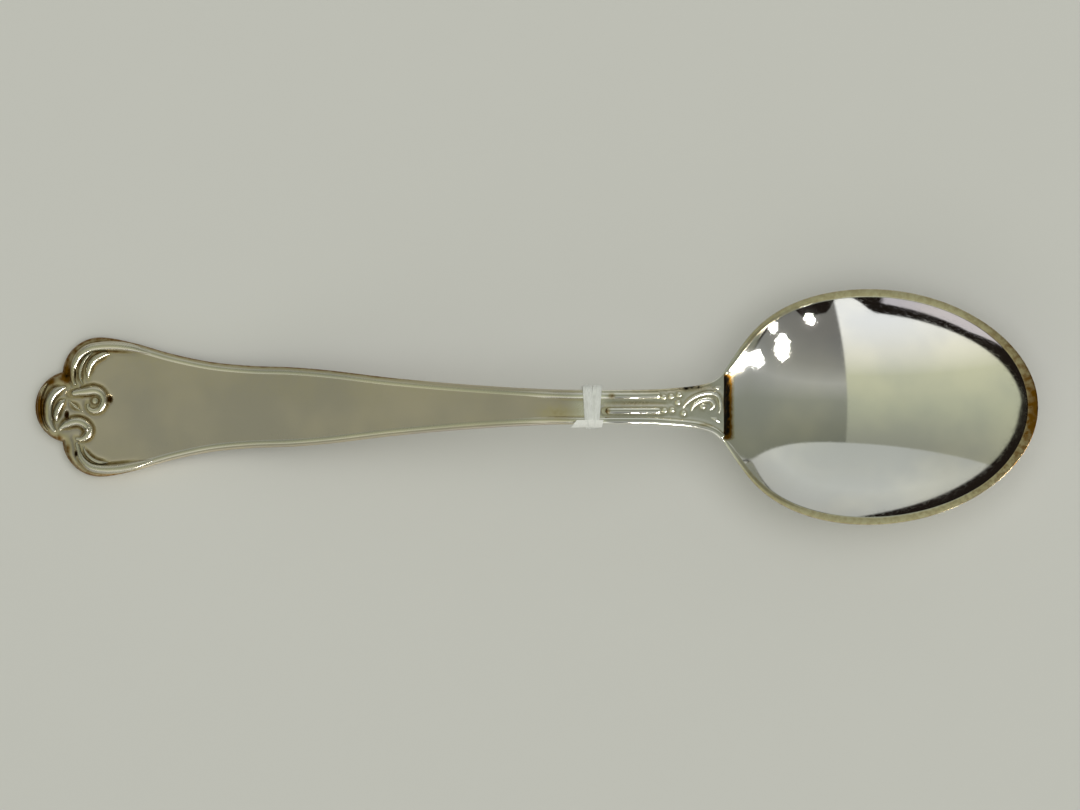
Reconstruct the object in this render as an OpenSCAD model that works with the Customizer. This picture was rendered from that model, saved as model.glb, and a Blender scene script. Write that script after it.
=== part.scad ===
// Silver teaspoon with a scrolled handle end, a reeded stem and a snug white thread tie.
// Units are millimetres. The spoon lies on its back: +X runs to the bowl's tip, +Z is up,
// and the flat under the handle end and the bowl's lowest point both touch Z = 0.

/* [Handle] */
// Length from the crest's tip to the joint with the stem
handle_length = 69.5; // [62:0.5:78]
// Length of the flat end that carries the scrolls
end_length = 12; // [11:0.5:14]
// Width of the flat end across its two lobes
end_width = 17.4; // [16:0.2:19]
// Thickness of the flat end
end_thickness = 1.9; // [1.5:0.1:2.4]
// Radius of each round lobe of the end
lobe_radius = 4.7; // [4.3:0.1:5.2]
// Radius of the crest that stands out between the lobes
crest_radius = 4.5; // [4.1:0.1:4.9]
// Thickness of the blade at its waist
blade_thickness = 1.7; // [1.3:0.1:2.2]
// Height of the blade's side edge
blade_edge_height = 1.2; // [0.8:0.1:1.5]

/* [Stem] */
// Length from the handle joint to the bowl
stem_length = 16.4; // [14:0.2:20]
// Width of the stem at its narrowest
stem_width = 4.3; // [3.8:0.1:5]
// Thickness of the stem at the handle joint
stem_thickness = 2.5; // [2:0.1:3.2]
// Height of the stem's side edge at the handle joint
stem_edge_height = 1.6; // [1.2:0.1:1.9]
// Width of the shoulders where the stem meets the bowl
shoulder_width = 8.84; // [8:0.1:9.6]
// Thickness of the stem where it meets the bowl
shoulder_thickness = 2.4; // [2:0.1:2.8]
// Height of the shoulder's side edge
shoulder_edge_height = 1.1; // [0.8:0.1:1.4]
// Height of the stem's crown above the table
crown_height = 14.4; // [13.5:0.1:15.5]
// Length of the straight shoulder that carries the relief, back from the bowl
shoulder_length = 10.4; // [9.6:0.2:12]

/* [Bowl] */
// Length of the bowl from the stem to its tip
bowl_length = 39.1; // [36:0.2:43]
// Width of the bowl across its rim
bowl_width = 29.36; // [27:0.2:32]
// Depth of the bowl below its rim
bowl_depth = 6.8; // [6.2:0.1:7.6]
// Wall at the bowl's lowest point
floor_wall = 1.1; // [0.8:0.1:1.5]
// Width of the flat rim at the bowl's sides
rim_width = 0.85; // [0.7:0.05:1.1]
// Height of the rim's outer edge
rim_edge_height = 0.3; // [0.2:0.05:0.5]
// Distance from the bowl's widest place to its tip
front_length = 21.1; // [19:0.1:23]
// Rise of the rim from its lowest place up to the stem
rear_rise_height = 1.4; // [1:0.1:1.6]
// Rise of the rim from its lowest place up to the tip
tip_rise_height = 0.3; // [0:0.1:0.8]
// Drop from the stem's top to the bowl's floor where they meet
mouth_step_height = 1; // [0.6:0.1:1.2]

/* [Relief] */
// Width of the thread that runs along each border
thread_width = 1; // [0.7:0.05:1.1]
// Height of the border thread
thread_height = 0.35; // [0.2:0.05:0.5]
// Plain margin outside the border thread
thread_margin_width = 0.06; // [0.03:0.01:0.1]
// How much further the upper thread stands in from the edge on the stem
upper_shift_width = 0.42; // [0:0.02:0.5]
// Width of the large scrolls on the end
scroll_width = 0.84; // [0.6:0.02:0.9]
// Height of the large scrolls
scroll_height = 0.55; // [0.3:0.05:0.8]
// Width of the fine reeds inside the scrolls
reed_width = 0.42; // [0.3:0.02:0.46]
// Height of the fine reeds
reed_height = 0.3; // [0.2:0.05:0.5]
// Radius of the round eye in the centre scroll
eye_radius = 0.46; // [0.3:0.02:0.5]
// Width of the ridge along the middle of the stem
ridge_width = 1; // [0.7:0.05:1.1]
// How far that ridge lies below the middle, seen from above
ridge_offset_width = 0.3; // [0.2:0.02:0.4]
// Width of the fine scrolls on the shoulder
shoulder_scroll_width = 0.5; // [0.4:0.02:0.54]
// Height of the relief on the shoulder
shoulder_relief_height = 0.35; // [0.2:0.05:0.5]
// Radius of the small beads ahead of the shoulder scroll
bead_radius = 0.3; // [0.2:0.02:0.32]

/* [Tie] */
// Width of the tie's soft strand, along the stem
strand_width = 0.85; // [0.6:0.05:0.9]
// Thickness of the strand, away from the stem
strand_thickness = 0.5; // [0.4:0.02:0.6]
// Gap between one turn of the strand and the next
turn_gap_width = 0.45; // [0.42:0.01:0.7]
// Turns of the strand round the stem
turns = 2; // [1:1:3]
// Radius of the strand's bends round the stem's corners
bend_radius = 0.9; // [0.7:0.05:1.1]
// Clearance between the strand and the stem's sides and threads
tie_clearance = 0.1; // [0.08:0.01:0.2]
// Clearance under the stem, whose curved underside slides through
tie_slack_clearance = 0.66; // [0.6:0.01:0.8]
// Width of the knot across the stem
knot_width = 1.4; // [1:0.1:1.5]
// Plain edge of the knot round each strand's end
knot_margin_width = 0.08; // [0.05:0.01:0.15]
// Thickness of the bight that closes the knot
bight_thickness = 0.4; // [0.3:0.05:0.6]
// Width of the paper tab at its upper edge
tab_width = 3.3; // [2.6:0.1:4]
// Distance from the middle of the tie to the tab's end on the bowl's side
tab_ahead_length = 1.4; // [1:0.1:1.8]
// How much further the tab's lower edge reaches along the handle
tab_slant_length = 0.75; // [0:0.05:1.2]
// Length of the tab past the strand's bend
tab_drop_length = 0.3; // [0.1:0.05:0.6]
// Thickness of the tab
tab_thickness = 0.22; // [0.15:0.01:0.4]

/* [Hidden] */
$fn = 64;
silver = "#cfccbd";
polished = "#dedcd2";
cotton = "#eeeeec";
paper = "#f6f6f2";

overall_length = handle_length + stem_length + bowl_length;
end_half = end_width / 2;
stem_half = stem_width / 2;
shoulder_half = shoulder_width / 2;
bowl_half = bowl_width / 2;
bowl_start = handle_length + stem_length;
widest_x = overall_length - front_length;
rear_length = widest_x - bowl_start;
rim_height = bowl_depth + floor_wall;
shoulder_height = rim_height + rear_rise_height;
straight_start = bowl_start - shoulder_length;
crown_bend = straight_start - handle_length;
shoulder_slope = (crown_height - shoulder_height) / (stem_length - crown_bend / 2);

// Number of cross-sections and of points across them
handle_sections = 36;
stem_sections = 24;
bowl_sections = 32;
bowl_columns = 18;
underside_columns = 8;
ridge_columns = 6;
curve_steps = 4;
strand_sides = 6;
turn_rings = 24;

// Half-width of the handle from the lobes' widest place to the joint: share of the handle's length,
// then share of the way from the stem's half-width to the end's
handle_outline_shares = [
    [0.1165, 1], [0.174, 0.9], [0.245, 0.687], [0.3165, 0.53], [0.3885, 0.456], [0.4604, 0.429],
    [0.5324, 0.365], [0.6388, 0.229], [0.7827, 0.094], [0.9252, 0.008], [1, 0]
];
// Half-width of the stem: share of its length, then share of the way out to the shoulders
stem_outline_shares = [
    [0, 0], [0.3, 0], [0.457, 0.02], [0.61, 0.092], [0.744, 0.176], [0.823, 0.264], [0.884, 0.396],
    [0.945, 0.617], [1, 1], [1.06, 1.62]
];

function mix(a, b, t) = a + (b - a) * t;
function ease(t) = t * t * (3 - 2 * t);
function clamp01(t) = min(1, max(0, t));

// Value at x of a smooth curve through a table of [x, value] pairs
function slope_at(table, i) =
    i == 0 || i == len(table) - 1 ? 0
    : (table[i + 1][1] - table[i - 1][1]) / (table[i + 1][0] - table[i - 1][0]);
function find_span(table, x, i = 0) =
    i >= len(table) - 2 || x <= table[i + 1][0] ? i : find_span(table, x, i + 1);
function smooth_at(table, x) =
    let (
        i = find_span(table, x),
        run = table[i + 1][0] - table[i][0],
        t = clamp01((x - table[i][0]) / run)
    )
    mix(table[i][1], table[i + 1][1], ease(t))
    + run * t * (1 - t) * (slope_at(table, i) * (1 - t) - slope_at(table, i + 1) * t);

// Half-width in plan of the handle and stem at x
function blade_half(x) =
    x <= handle_length
    ? mix(stem_half, end_half, smooth_at(handle_outline_shares, x / handle_length))
    : mix(stem_half, shoulder_half,
          smooth_at(stem_outline_shares, (x - handle_length) / stem_length));

// Height of the top surface at x, flat from side to side
function top_height(x) =
    x <= end_length ? end_thickness
    : x <= handle_length
    ? mix(end_thickness, crown_height, ease((x - end_length) / (handle_length - end_length)))
    : x <= straight_start
    ? crown_height - shoulder_slope * pow(x - handle_length, 2) / (2 * crown_bend)
    : shoulder_height + shoulder_slope * (bowl_start - x);

// Thickness on the middle line and at the side edges
waist_x = handle_length * 0.42;
snug_x = handle_length * 0.93;
function thickness_at(x) =
    smooth_at([[end_length, end_thickness], [waist_x, blade_thickness], [snug_x, stem_thickness],
               [straight_start, stem_thickness], [bowl_start, shoulder_thickness]], x);
function edge_at(x) =
    smooth_at([[end_length, end_thickness], [waist_x, blade_edge_height], [snug_x, stem_edge_height],
               [straight_start, stem_edge_height], [bowl_start, shoulder_edge_height]], x);

// Cross-section of the handle or stem: flat top, upright edges, crowned underside
function blade_ring(x) =
    let (
        half = blade_half(x),
        top = top_height(x),
        edge = edge_at(x),
        crown = thickness_at(x) - edge
    )
    concat(
        [[x, half, top], [x, -half, top]],
        [for (i = [0:underside_columns])
            let (v = 2 * i / underside_columns - 1)
            [x, half * v, top - edge - crown * (1 - v * v)]]
    );

// Solid through a list of rings, each a list of points in the same order
module skin(rings) {
    n = len(rings[0]);
    last = len(rings) - 1;
    polyhedron(
        points = [for (ring = rings) each ring],
        faces = concat(
            [[for (j = [0:n - 1]) j]],
            [[for (j = [n - 1:-1:0]) last * n + j]],
            [for (i = [0:last - 1], j = [0:n - 1])
                each let (k = (j + 1) % n, a = i * n, b = a + n)
                    [[a + j, b + j, b + k], [a + j, b + k, a + k]]]
        )
    );
}

// Points spaced evenly from one x to another
function stations(from, to, count) = [for (i = [0:count]) mix(from, to, i / count)];

// Smooth plan curve through hand-chosen points
function knot_point(p, i) =
    i < 0 ? 2 * p[0] - p[1] : i >= len(p) ? 2 * p[len(p) - 1] - p[len(p) - 2] : p[i];
function curve_between(a, b, c, d, t) =
    0.5 * (2 * b + (c - a) * t + (2 * a - 5 * b + 4 * c - d) * t * t
           + (3 * b - a - 3 * c + d) * t * t * t);
function curve(p) =
    concat(
        [for (i = [0:len(p) - 2], s = [0:curve_steps - 1])
            curve_between(knot_point(p, i - 1), p[i], p[i + 1], knot_point(p, i + 2), s / curve_steps)],
        [p[len(p) - 1]]
    );

// Rounded ridge along a plan path, seated on the top surface. Its width and height follow
// tables of [share of the path, share of the full size]. first_across turns its first
// end square to the handle, so that it meets the border thread face to face.
function plan_normal(p, i, first_across) =
    i == 0 && first_across != 0 ? [0, first_across]
    : let (
        ahead = p[min(i + 1, len(p) - 1)],
        behind = p[max(i - 1, 0)],
        d = (ahead - behind) / norm(ahead - behind)
    ) [-d[1], d[0]];
function ridge_ring(at, side, half, height) =
    [for (j = [0:ridge_columns])
        let (a = 180 * j / ridge_columns, q = at + side * half * cos(a))
        [q[0], q[1], top_height(q[0]) + height * sin(a)]];
module ridge(path, width, height, swell, first_across = 0) {
    last = len(path) - 1;
    skin([for (i = [0:last])
        let (share = smooth_at(swell, i / last))
        ridge_ring(path[i], plan_normal(path, i, first_across), width / 2 * share, height * share)]);
}

// Low round dome seated on a flat place
module dome(radius, height) {
    ball = (radius * radius + height * height) / (2 * height);
    intersection() {
        translate([0, 0, height - ball]) sphere(r = ball);
        translate([-ball, -ball, 0]) cube(2 * ball);
    }
}

// A place on the flat end, from a share of its length and of its half-width
function on_end(share) = [share[0] * end_length, share[1] * end_half];
function end_curve(shares) = curve([for (share = shares) on_end(share)]);
// A place on the shoulder, from a share of its straight length and of its half-width
function on_shoulder(share) =
    [mix(straight_start, bowl_start, share[0]), share[1] * shoulder_half];
function shoulder_curve(shares) = curve([for (share = shares) on_shoulder(share)]);

leaf_shape = [[0, 0.25], [0.45, 1], [1, 0.2]];
tapered_ends = [[0, 0.4], [0.2, 1], [0.75, 1], [1, 0.45]];
tapered_tail = [[0, 1], [0.6, 1], [1, 0.45]];

// Handle and its flat end

module end_plate() {
    lobe_x = handle_outline_shares[0][0] * handle_length;
    linear_extrude(end_thickness) {
        for (side = [-1, 1])
            translate([lobe_x, side * (end_half - lobe_radius)]) circle(lobe_radius);
        translate([crest_radius, 0]) circle(crest_radius);
        polygon(concat(
            [for (x = stations(lobe_x, end_length, ridge_columns)) [x, blade_half(x)]],
            [for (x = stations(end_length, lobe_x, ridge_columns)) [x, -blade_half(x)]]
        ));
        translate([crest_radius, -(end_half - lobe_radius)])
            square([lobe_x - crest_radius, 2 * (end_half - lobe_radius)]);
    }
}

module handle() {
    color(silver) {
        end_plate();
        skin([for (x = stations(end_length, handle_length, handle_sections)) blade_ring(x)]);
    }
}

module stem() {
    color(polished)
        skin([for (x = stations(handle_length, bowl_start, stem_sections)) blade_ring(x)]);
}

// Bowl

// Share of the full size left at a share t of the way to an egg's end: 1 - k t^2 - (1 - k) t^4
function egg(t, k) = 1 - k * t * t - (1 - k) * pow(t, 4);
front_fullness_share = 1.078;
mouth_half = shoulder_half - 0.6 * rim_width;
inner_half = bowl_half - rim_width;
inner_front = front_length - 1.4 * rim_width;
outer_end = rear_length * 0.995;
inner_end = rear_length * 0.972;
flare_start = rear_length * 0.78;

// Square of a half-width, d ahead of the widest place. Behind flare_start it bends out again,
// to reach the square of the mouth's half-width at the stem.
function egg_square(d, front, rear, fullness) =
    d >= 0 ? egg(d / front, fullness) : egg(-d / rear, fullness * pow(rear / front, 2));
function flare(d) = pow(clamp01((-d - flare_start) / (rear_length - flare_start)), 3);
function flared_square(d, front, rear, fullness, mouth) =
    max(0, egg_square(d, front, rear, fullness)
           + (mouth - egg_square(-rear_length, front, rear, fullness)) * flare(d));
function rim_at(d) =
    rim_height + (d >= 0 ? tip_rise_height * pow(d / front_length, 3) : rear_rise_height * pow(-d / rear_length, 3));
function edge_height(d) = d >= 0 ? rim_edge_height : mix(rim_edge_height, shoulder_edge_height, pow(-d / rear_length, 6));

// Depth below the rim, where fill is 1 at the lowest point and 0 at the rim
inner_roundness_share = 0.02;
outer_roundness_share = 0.05;
function sag(fill, depth, roundness) = depth * fill * (1 + roundness * (1 - fill));
function fill_for(sag_share, roundness) =
    (1 + roundness - sqrt(pow(1 + roundness, 2) - 4 * roundness * sag_share)) / (2 * roundness);
outer_depth = rim_height - rim_edge_height;
inner_mouth_fill = fill_for(mouth_step_height / bowl_depth, inner_roundness_share);
outer_mouth_fill = fill_for((shoulder_thickness - shoulder_edge_height) / outer_depth, outer_roundness_share);

function inner_width(d) =
    inner_half * sqrt(flared_square(d, inner_front, inner_end, 1, pow(mouth_half / inner_half, 2)));
function outer_width(d) =
    bowl_half * sqrt(flared_square(d, front_length, outer_end, front_fullness_share,
                                   pow(shoulder_half / bowl_half, 2)));
function inner_point(d, v) =
    let (fill = flared_square(d, inner_front, inner_end, 1, inner_mouth_fill) * (1 - v * v))
    [widest_x + d, inner_width(d) * v, rim_at(d) - sag(fill, bowl_depth, inner_roundness_share)];
function outer_point(d, v) =
    let (
        keel = flared_square(d, front_length, outer_end, front_fullness_share, outer_mouth_fill),
        fill = keel * (1 - v * v)
    )
    [widest_x + d, outer_width(d) * v,
     rim_at(d) - edge_height(d) - sag(fill, outer_depth, outer_roundness_share)];
function rim_point(d, side) = [widest_x + d, outer_width(d) * side, rim_at(d)];

function section_at(i, front) = mix(-rear_length, front, (1 - cos(180 * i / bowl_sections)) / 2);
function column_at(j) = sin(90 * (2 * j / bowl_columns - 1));
function bowl_ring(i) =
    let (inside = section_at(i, inner_front), outside = section_at(i, front_length))
    concat(
        [for (j = [0:bowl_columns]) inner_point(inside, column_at(j))],
        [rim_point(outside, 1)],
        [for (j = [bowl_columns:-1:0]) outer_point(outside, column_at(j))],
        [rim_point(outside, -1)]
    );

module bowl() {
    c = bowl_columns;
    n = 2 * c + 4;
    tip = bowl_sections * n;
    last = tip - n;
    color(polished)
        polyhedron(
            points = concat(
                [for (i = [0:bowl_sections - 1]) each bowl_ring(i)],
                [inner_point(inner_front, 0), rim_point(front_length, 0), outer_point(front_length, 0)]
            ),
            faces = concat(
                // The wall at the stem
                [for (j = [0:c - 1]) each [[j, n - 2 - j, n - 3 - j], [j, n - 3 - j, j + 1]]],
                [[c, c + 2, c + 1], [0, n - 1, n - 2]],
                // The shell
                [for (i = [0:bowl_sections - 2], j = [0:n - 1])
                    each let (k = (j + 1) % n, a = i * n, b = a + n)
                        [[a + j, b + k, b + j], [a + j, a + k, b + k]]],
                // The tip
                [for (j = [0:c - 1]) [last + j, last + j + 1, tip]],
                [for (j = [c + 2:n - 3]) [last + j, last + j + 1, tip + 2]],
                [[last + c, tip + 1, tip], [last + c, last + c + 1, tip + 1],
                 [last + c + 1, tip + 2, tip + 1], [last + c + 1, last + c + 2, tip + 2],
                 [last + n - 2, tip + 1, tip + 2], [last + n - 2, last + n - 1, tip + 1],
                 [last + n - 1, tip, tip + 1], [last + n - 1, last, tip]]
            )
        );
}

// Border threads and the stem's middle ridge

thread_inset = thread_margin_width + thread_width / 2;
shift_start = handle_length - stem_length * 0.2;
shift_end = handle_length + stem_length * 0.12;
reeds_end = bowl_start - shoulder_length * 0.75;
ridge_start = handle_length + stem_length * 0.1;
thread_stations = concat(
    stations(end_length, handle_length, handle_sections),
    [for (x = stations(handle_length, bowl_start, stem_sections)) if (x > handle_length) x]
);

// Rounded thread seated on the top surface, from one x to another
module reed(from, to, width, middle_at, swell) {
    path = [for (x = thread_stations) if (x >= from && x <= to) x];
    first = path[0];
    run = path[len(path) - 1] - first;
    skin([for (x = path)
        let (share = smooth_at(swell, (x - first) / run), middle = lookup(x, middle_at))
        [for (j = [0:ridge_columns])
            let (a = 180 * j / ridge_columns)
            [x, middle + width / 2 * cos(a), top_height(x) + thread_height * share * sin(a)]]]);
}
function shift_at(x) = upper_shift_width * ease(clamp01((x - shift_start) / (shift_end - shift_start)));
module upper_border_thread() {
    color(silver)
        reed(end_length, reeds_end, thread_width,
             [for (x = thread_stations) [x, blade_half(x) - thread_inset - shift_at(x)]],
             [[0, 1], [0.96, 1], [1, 0.5]]);
}
module lower_border_thread() {
    color(silver)
        reed(end_length, bowl_start, thread_width,
             [for (x = thread_stations) [x, thread_inset - blade_half(x)]],
             [[0, 1], [0.95, 1], [1, 0.6]]);
}
module stem_ridge() {
    color(polished)
        reed(ridge_start, reeds_end, ridge_width,
             [[handle_length, -ridge_offset_width], [bowl_start, -ridge_offset_width]], tapered_ends);
}

// Scrolls on the flat end

thread_share = (blade_half(end_length) - thread_inset) / end_half;
upper_scroll_shares = [
    [1, thread_share], [0.86, 0.882], [0.72, 0.89], [0.59, 0.862], [0.487, 0.785], [0.425, 0.665],
    [0.4, 0.53], [0.404, 0.405], [0.43, 0.305]
];
upper_mid_reed_shares = [
    [0.655, 0.785], [0.565, 0.735], [0.503, 0.64], [0.475, 0.535], [0.473, 0.43], [0.492, 0.35]
];
upper_inner_reed_shares = [
    [0.77, 0.765], [0.665, 0.71], [0.585, 0.625], [0.54, 0.53], [0.53, 0.44], [0.548, 0.385]
];
centre_scroll_shares = [
    [0.4, 0.205], [0.47, 0.218], [0.55, 0.238], [0.63, 0.243], [0.69, 0.19], [0.705, 0.09],
    [0.665, 0], [0.6, -0.02], [0.553, 0.015], [0.545, 0.07]
];
centre_eye_share = [0.625, 0.09];
lower_scroll_shares = [
    [1, -thread_share], [0.86, -0.882], [0.72, -0.89], [0.6, -0.855], [0.5, -0.77], [0.44, -0.645],
    [0.415, -0.55], [0.398, -0.46]
];
lower_volute_shares = [
    [0.272, -0.325], [0.31, -0.262], [0.38, -0.215], [0.455, -0.203], [0.52, -0.235], [0.555, -0.315],
    [0.54, -0.4], [0.493, -0.44], [0.45, -0.4]
];
lower_reed_shares = [
    [0.8, -0.775], [0.68, -0.755], [0.585, -0.69], [0.52, -0.6], [0.495, -0.51]
];
crest_lip_shares = [
    [0.13, 0.345], [0.078, 0.25], [0.05, 0.13], [0.043, 0], [0.05, -0.13], [0.078, -0.25], [0.13, -0.345]
];
crest_ridge_shares = [
    [0.315, 0.29], [0.25, 0.27], [0.185, 0.2], [0.148, 0.09], [0.135, -0.04], [0.145, -0.165],
    [0.18, -0.27], [0.22, -0.34]
];
crest_inner_ridge_shares = [
    [0.315, 0.14], [0.268, 0.085], [0.232, 0.005], [0.213, -0.1], [0.222, -0.2]
];
crest_leaf_shares = [
    [0.36, 0.09], [0.42, 0.025], [0.49, -0.065]
];

module upper_scroll() {
    color(silver)
        ridge(end_curve(upper_scroll_shares), scroll_width, scroll_height,
              [[0, 1], [0.3, 1], [0.7, 1], [1, 0.55]], first_across = -1);
}
module upper_mid_reed() {
    color(silver) ridge(end_curve(upper_mid_reed_shares), reed_width, reed_height, tapered_ends);
}
module upper_inner_reed() {
    color(silver)
        ridge(end_curve(upper_inner_reed_shares), reed_width, reed_height,
              [[0, 0.5], [0.3, 1], [0.8, 1], [1, 1.3]]);
}
module centre_scroll() {
    color(silver)
        ridge(end_curve(centre_scroll_shares), scroll_width, scroll_height,
              [[0, 0.5], [0.2, 1], [0.45, 0.95], [1, 0.5]]);
}
module centre_eye() {
    color(silver)
        translate([each on_end(centre_eye_share), end_thickness]) dome(eye_radius, scroll_height);
}
module lower_scroll() {
    color(silver)
        ridge(end_curve(lower_scroll_shares), scroll_width, scroll_height, tapered_tail,
              first_across = -1);
}
module lower_volute() {
    color(silver)
        ridge(end_curve(lower_volute_shares), scroll_width, scroll_height,
              [[0, 0.4], [0.3, 0.9], [0.6, 0.9], [1, 0.55]]);
}
module lower_reed() {
    color(silver) ridge(end_curve(lower_reed_shares), reed_width, reed_height, tapered_ends);
}
module crest_lip() {
    color(silver) ridge(end_curve(crest_lip_shares), reed_width, reed_height, tapered_ends);
}
module crest_ridge() {
    color(silver) ridge(end_curve(crest_ridge_shares), scroll_width, scroll_height, tapered_ends);
}
module crest_inner_ridge() {
    color(silver)
        ridge(end_curve(crest_inner_ridge_shares), reed_width, scroll_height, tapered_ends);
}
module crest_leaf() {
    color(silver) ridge(end_curve(crest_leaf_shares), scroll_width, reed_height, leaf_shape);
}

// Relief on the shoulder

shoulder_scroll_shares = [
    [0.505, -0.03], [0.56, 0.13], [0.65, 0.28], [0.75, 0.37], [0.85, 0.395], [0.93, 0.32],
    [0.96, 0.15], [0.96, -0.04], [0.935, -0.18]
];
shoulder_volute_shares = [
    [0.61, -0.13], [0.635, 0.03], [0.695, 0.14], [0.77, 0.2], [0.84, 0.195], [0.878, 0.11],
    [0.87, -0.01], [0.825, -0.09]
];
upper_corner_shares = [
    [0.86, 0.525], [0.915, 0.54], [0.975, 0.6]
];
lower_corner_shares = [
    [0.84, -0.29], [0.905, -0.35], [0.965, -0.46]
];
bead_shares = [
    [0.277, 0.276], [0.365, 0.3], [0.46, 0.346], [0.448, 0.127], [0.287, -0.098], [0.377, -0.084],
    [0.514, -0.169], [0.745, 0.02]
];

module shoulder_scroll() {
    color(polished)
        ridge(shoulder_curve(shoulder_scroll_shares), shoulder_scroll_width, shoulder_relief_height,
              tapered_ends);
}
module shoulder_volute() {
    color(polished)
        ridge(shoulder_curve(shoulder_volute_shares), shoulder_scroll_width, shoulder_relief_height,
              tapered_ends);
}
module shoulder_corners() {
    color(polished) {
        ridge(shoulder_curve(upper_corner_shares), shoulder_scroll_width, shoulder_relief_height, leaf_shape);
        ridge(shoulder_curve(lower_corner_shares), shoulder_scroll_width, shoulder_relief_height, leaf_shape);
    }
}
module shoulder_beads() {
    color(polished)
        for (share = bead_shares) {
            at = on_shoulder(share);
            translate([at[0], at[1], top_height(at[0])])
                rotate([0, atan(shoulder_slope), 0]) dome(bead_radius, shoulder_relief_height * 0.8);
        }
}

// Tie: a soft strand wound round the stem, closed by a knot and carrying a paper tab

tie_x = handle_length;
turn_pitch = strand_width + turn_gap_width;
strand_half = strand_thickness / 2;
strand_face = strand_half * sin(60);
loop_side = stem_half + tie_clearance + strand_half;
loop_top = crown_height + thread_height + tie_clearance + strand_half;
loop_bottom = crown_height - stem_thickness - tie_slack_clearance - strand_half;
loop_middle = (loop_top + loop_bottom) / 2;
loop_rise = (loop_top - loop_bottom) / 2;
flat_across = loop_side - bend_radius;
flat_upright = loop_rise - bend_radius;
bend_run = PI * bend_radius / 2;
quarter_run = flat_across + flat_upright + bend_run;

// The strand's middle line is a rounded rectangle round the stem that moves along by one pitch
// a turn. Quarter c starts in the middle of a flat side, at ring 0, and bends at rings 1 to 5.
quarter_rings = turn_rings / 4;
bend_steps = quarter_rings - 2;
function facing(c, w) = 90 * (c - 1) + 90 * max(0, w - 1) / bend_steps;
function run_at(c, w) =
    quarter_run * c
    + (w == 0 ? 0 : (c % 2 == 0 ? flat_across : flat_upright) + bend_run * (w - 1) / bend_steps);
function along_at(c, w) = tie_x + turn_pitch * (run_at(c, w) / (4 * quarter_run) - turns / 2);
function strand_at(c, w) =
    let (a = facing(c, w))
    w == 0
    ? [along_at(c, w), loop_side * cos(a), loop_middle + loop_rise * sin(a)]
    : [along_at(c, w),
       flat_across * sign(cos(90 * c - 45)) + bend_radius * cos(a),
       loop_middle + flat_upright * sign(sin(90 * c - 45)) + bend_radius * sin(a)];
function strand_ring(at, facing) =
    [for (j = [0:strand_sides - 1])
        let (a = 360 * j / strand_sides, out = strand_half * sin(a))
        at + [strand_width / 2 * cos(a), out * cos(facing), out * sin(facing)]];

// Both ends run straight and square into the knot's side faces
last_quarter = 4 * turns - 1;
first_x = along_at(0, 1);
last_x = along_at(last_quarter, quarter_rings - 1);
strand_rings = concat(
    [strand_ring([first_x, knot_width / 2, loop_bottom], -90)],
    [for (c = [0:last_quarter], w = [0:quarter_rings - 1])
        if (c + w > 0) strand_ring(strand_at(c, w), facing(c, w))],
    [strand_ring([last_x, -knot_width / 2, loop_bottom], -90)]
);
half_turn = turn_rings / 2;
least_gap = min([
    for (i = [0:len(strand_rings) - 1 - half_turn], k = [i + half_turn:len(strand_rings) - 1])
        for (p = strand_rings[i], q = strand_rings[k]) norm(p - q)
]);
echo(least_gap_of_strand_to_itself = least_gap);

module tie_thread() {
    color(cotton) skin(strand_rings);
}

module tie_knot() {
    block = strand_width + 2 * knot_margin_width;
    top = loop_bottom + strand_half;
    bottom = loop_bottom - strand_half - bight_thickness;
    color(cotton) {
        for (x = [first_x, last_x])
            translate([x - block / 2, -knot_width / 2, bottom]) cube([block, knot_width, top - bottom]);
        translate([first_x, -knot_width / 2, bottom])
            cube([last_x - first_x, knot_width, bight_thickness]);
    }
}

// The tab lies on the strands where they bend down at the lower side of the stem
tab_bends = 3;
function tab_ring(face, across, fall, share) =
    let (
        inner = bend_radius + strand_face,
        outer = inner + tab_thickness,
        ahead = tie_x + tab_ahead_length - (tab_slant_length * share) / 4,
        behind = tie_x + tab_ahead_length - tab_width - tab_slant_length * share,
        from = [-flat_across + inner * cos(face) - across, loop_middle + flat_upright + inner * sin(face) - fall],
        to = [-flat_across + outer * cos(face) - across, loop_middle + flat_upright + outer * sin(face) - fall]
    )
    [[ahead, from[0], from[1]], [ahead, to[0], to[1]], [behind, to[0], to[1]], [behind, from[0], from[1]]];
module tie_tab() {
    end = facing(2, tab_bends);
    color(paper)
        skin(concat(
            [for (w = [1:tab_bends]) tab_ring(facing(2, w), 0, 0, (w - 1) / tab_bends)],
            [tab_ring(end, tab_drop_length * sin(end), -tab_drop_length * cos(end), 1)]
        ));
}

module placed() {
    translate([-overall_length / 2, 0, 0]) children();
}

placed() bowl();
placed() stem();
placed() handle();
placed() upper_border_thread();
placed() lower_border_thread();
placed() stem_ridge();
placed() upper_scroll();
placed() upper_mid_reed();
placed() upper_inner_reed();
placed() centre_scroll();
placed() centre_eye();
placed() lower_scroll();
placed() lower_volute();
placed() lower_reed();
placed() crest_lip();
placed() crest_ridge();
placed() crest_inner_ridge();
placed() crest_leaf();
placed() shoulder_scroll();
placed() shoulder_volute();
placed() shoulder_beads();
placed() shoulder_corners();
placed() tie_thread();
placed() tie_knot();
placed() tie_tab();
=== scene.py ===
"""Silver teaspoon with a scrolled handle end and a thread tie, dressed over its packed frame."""

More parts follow.
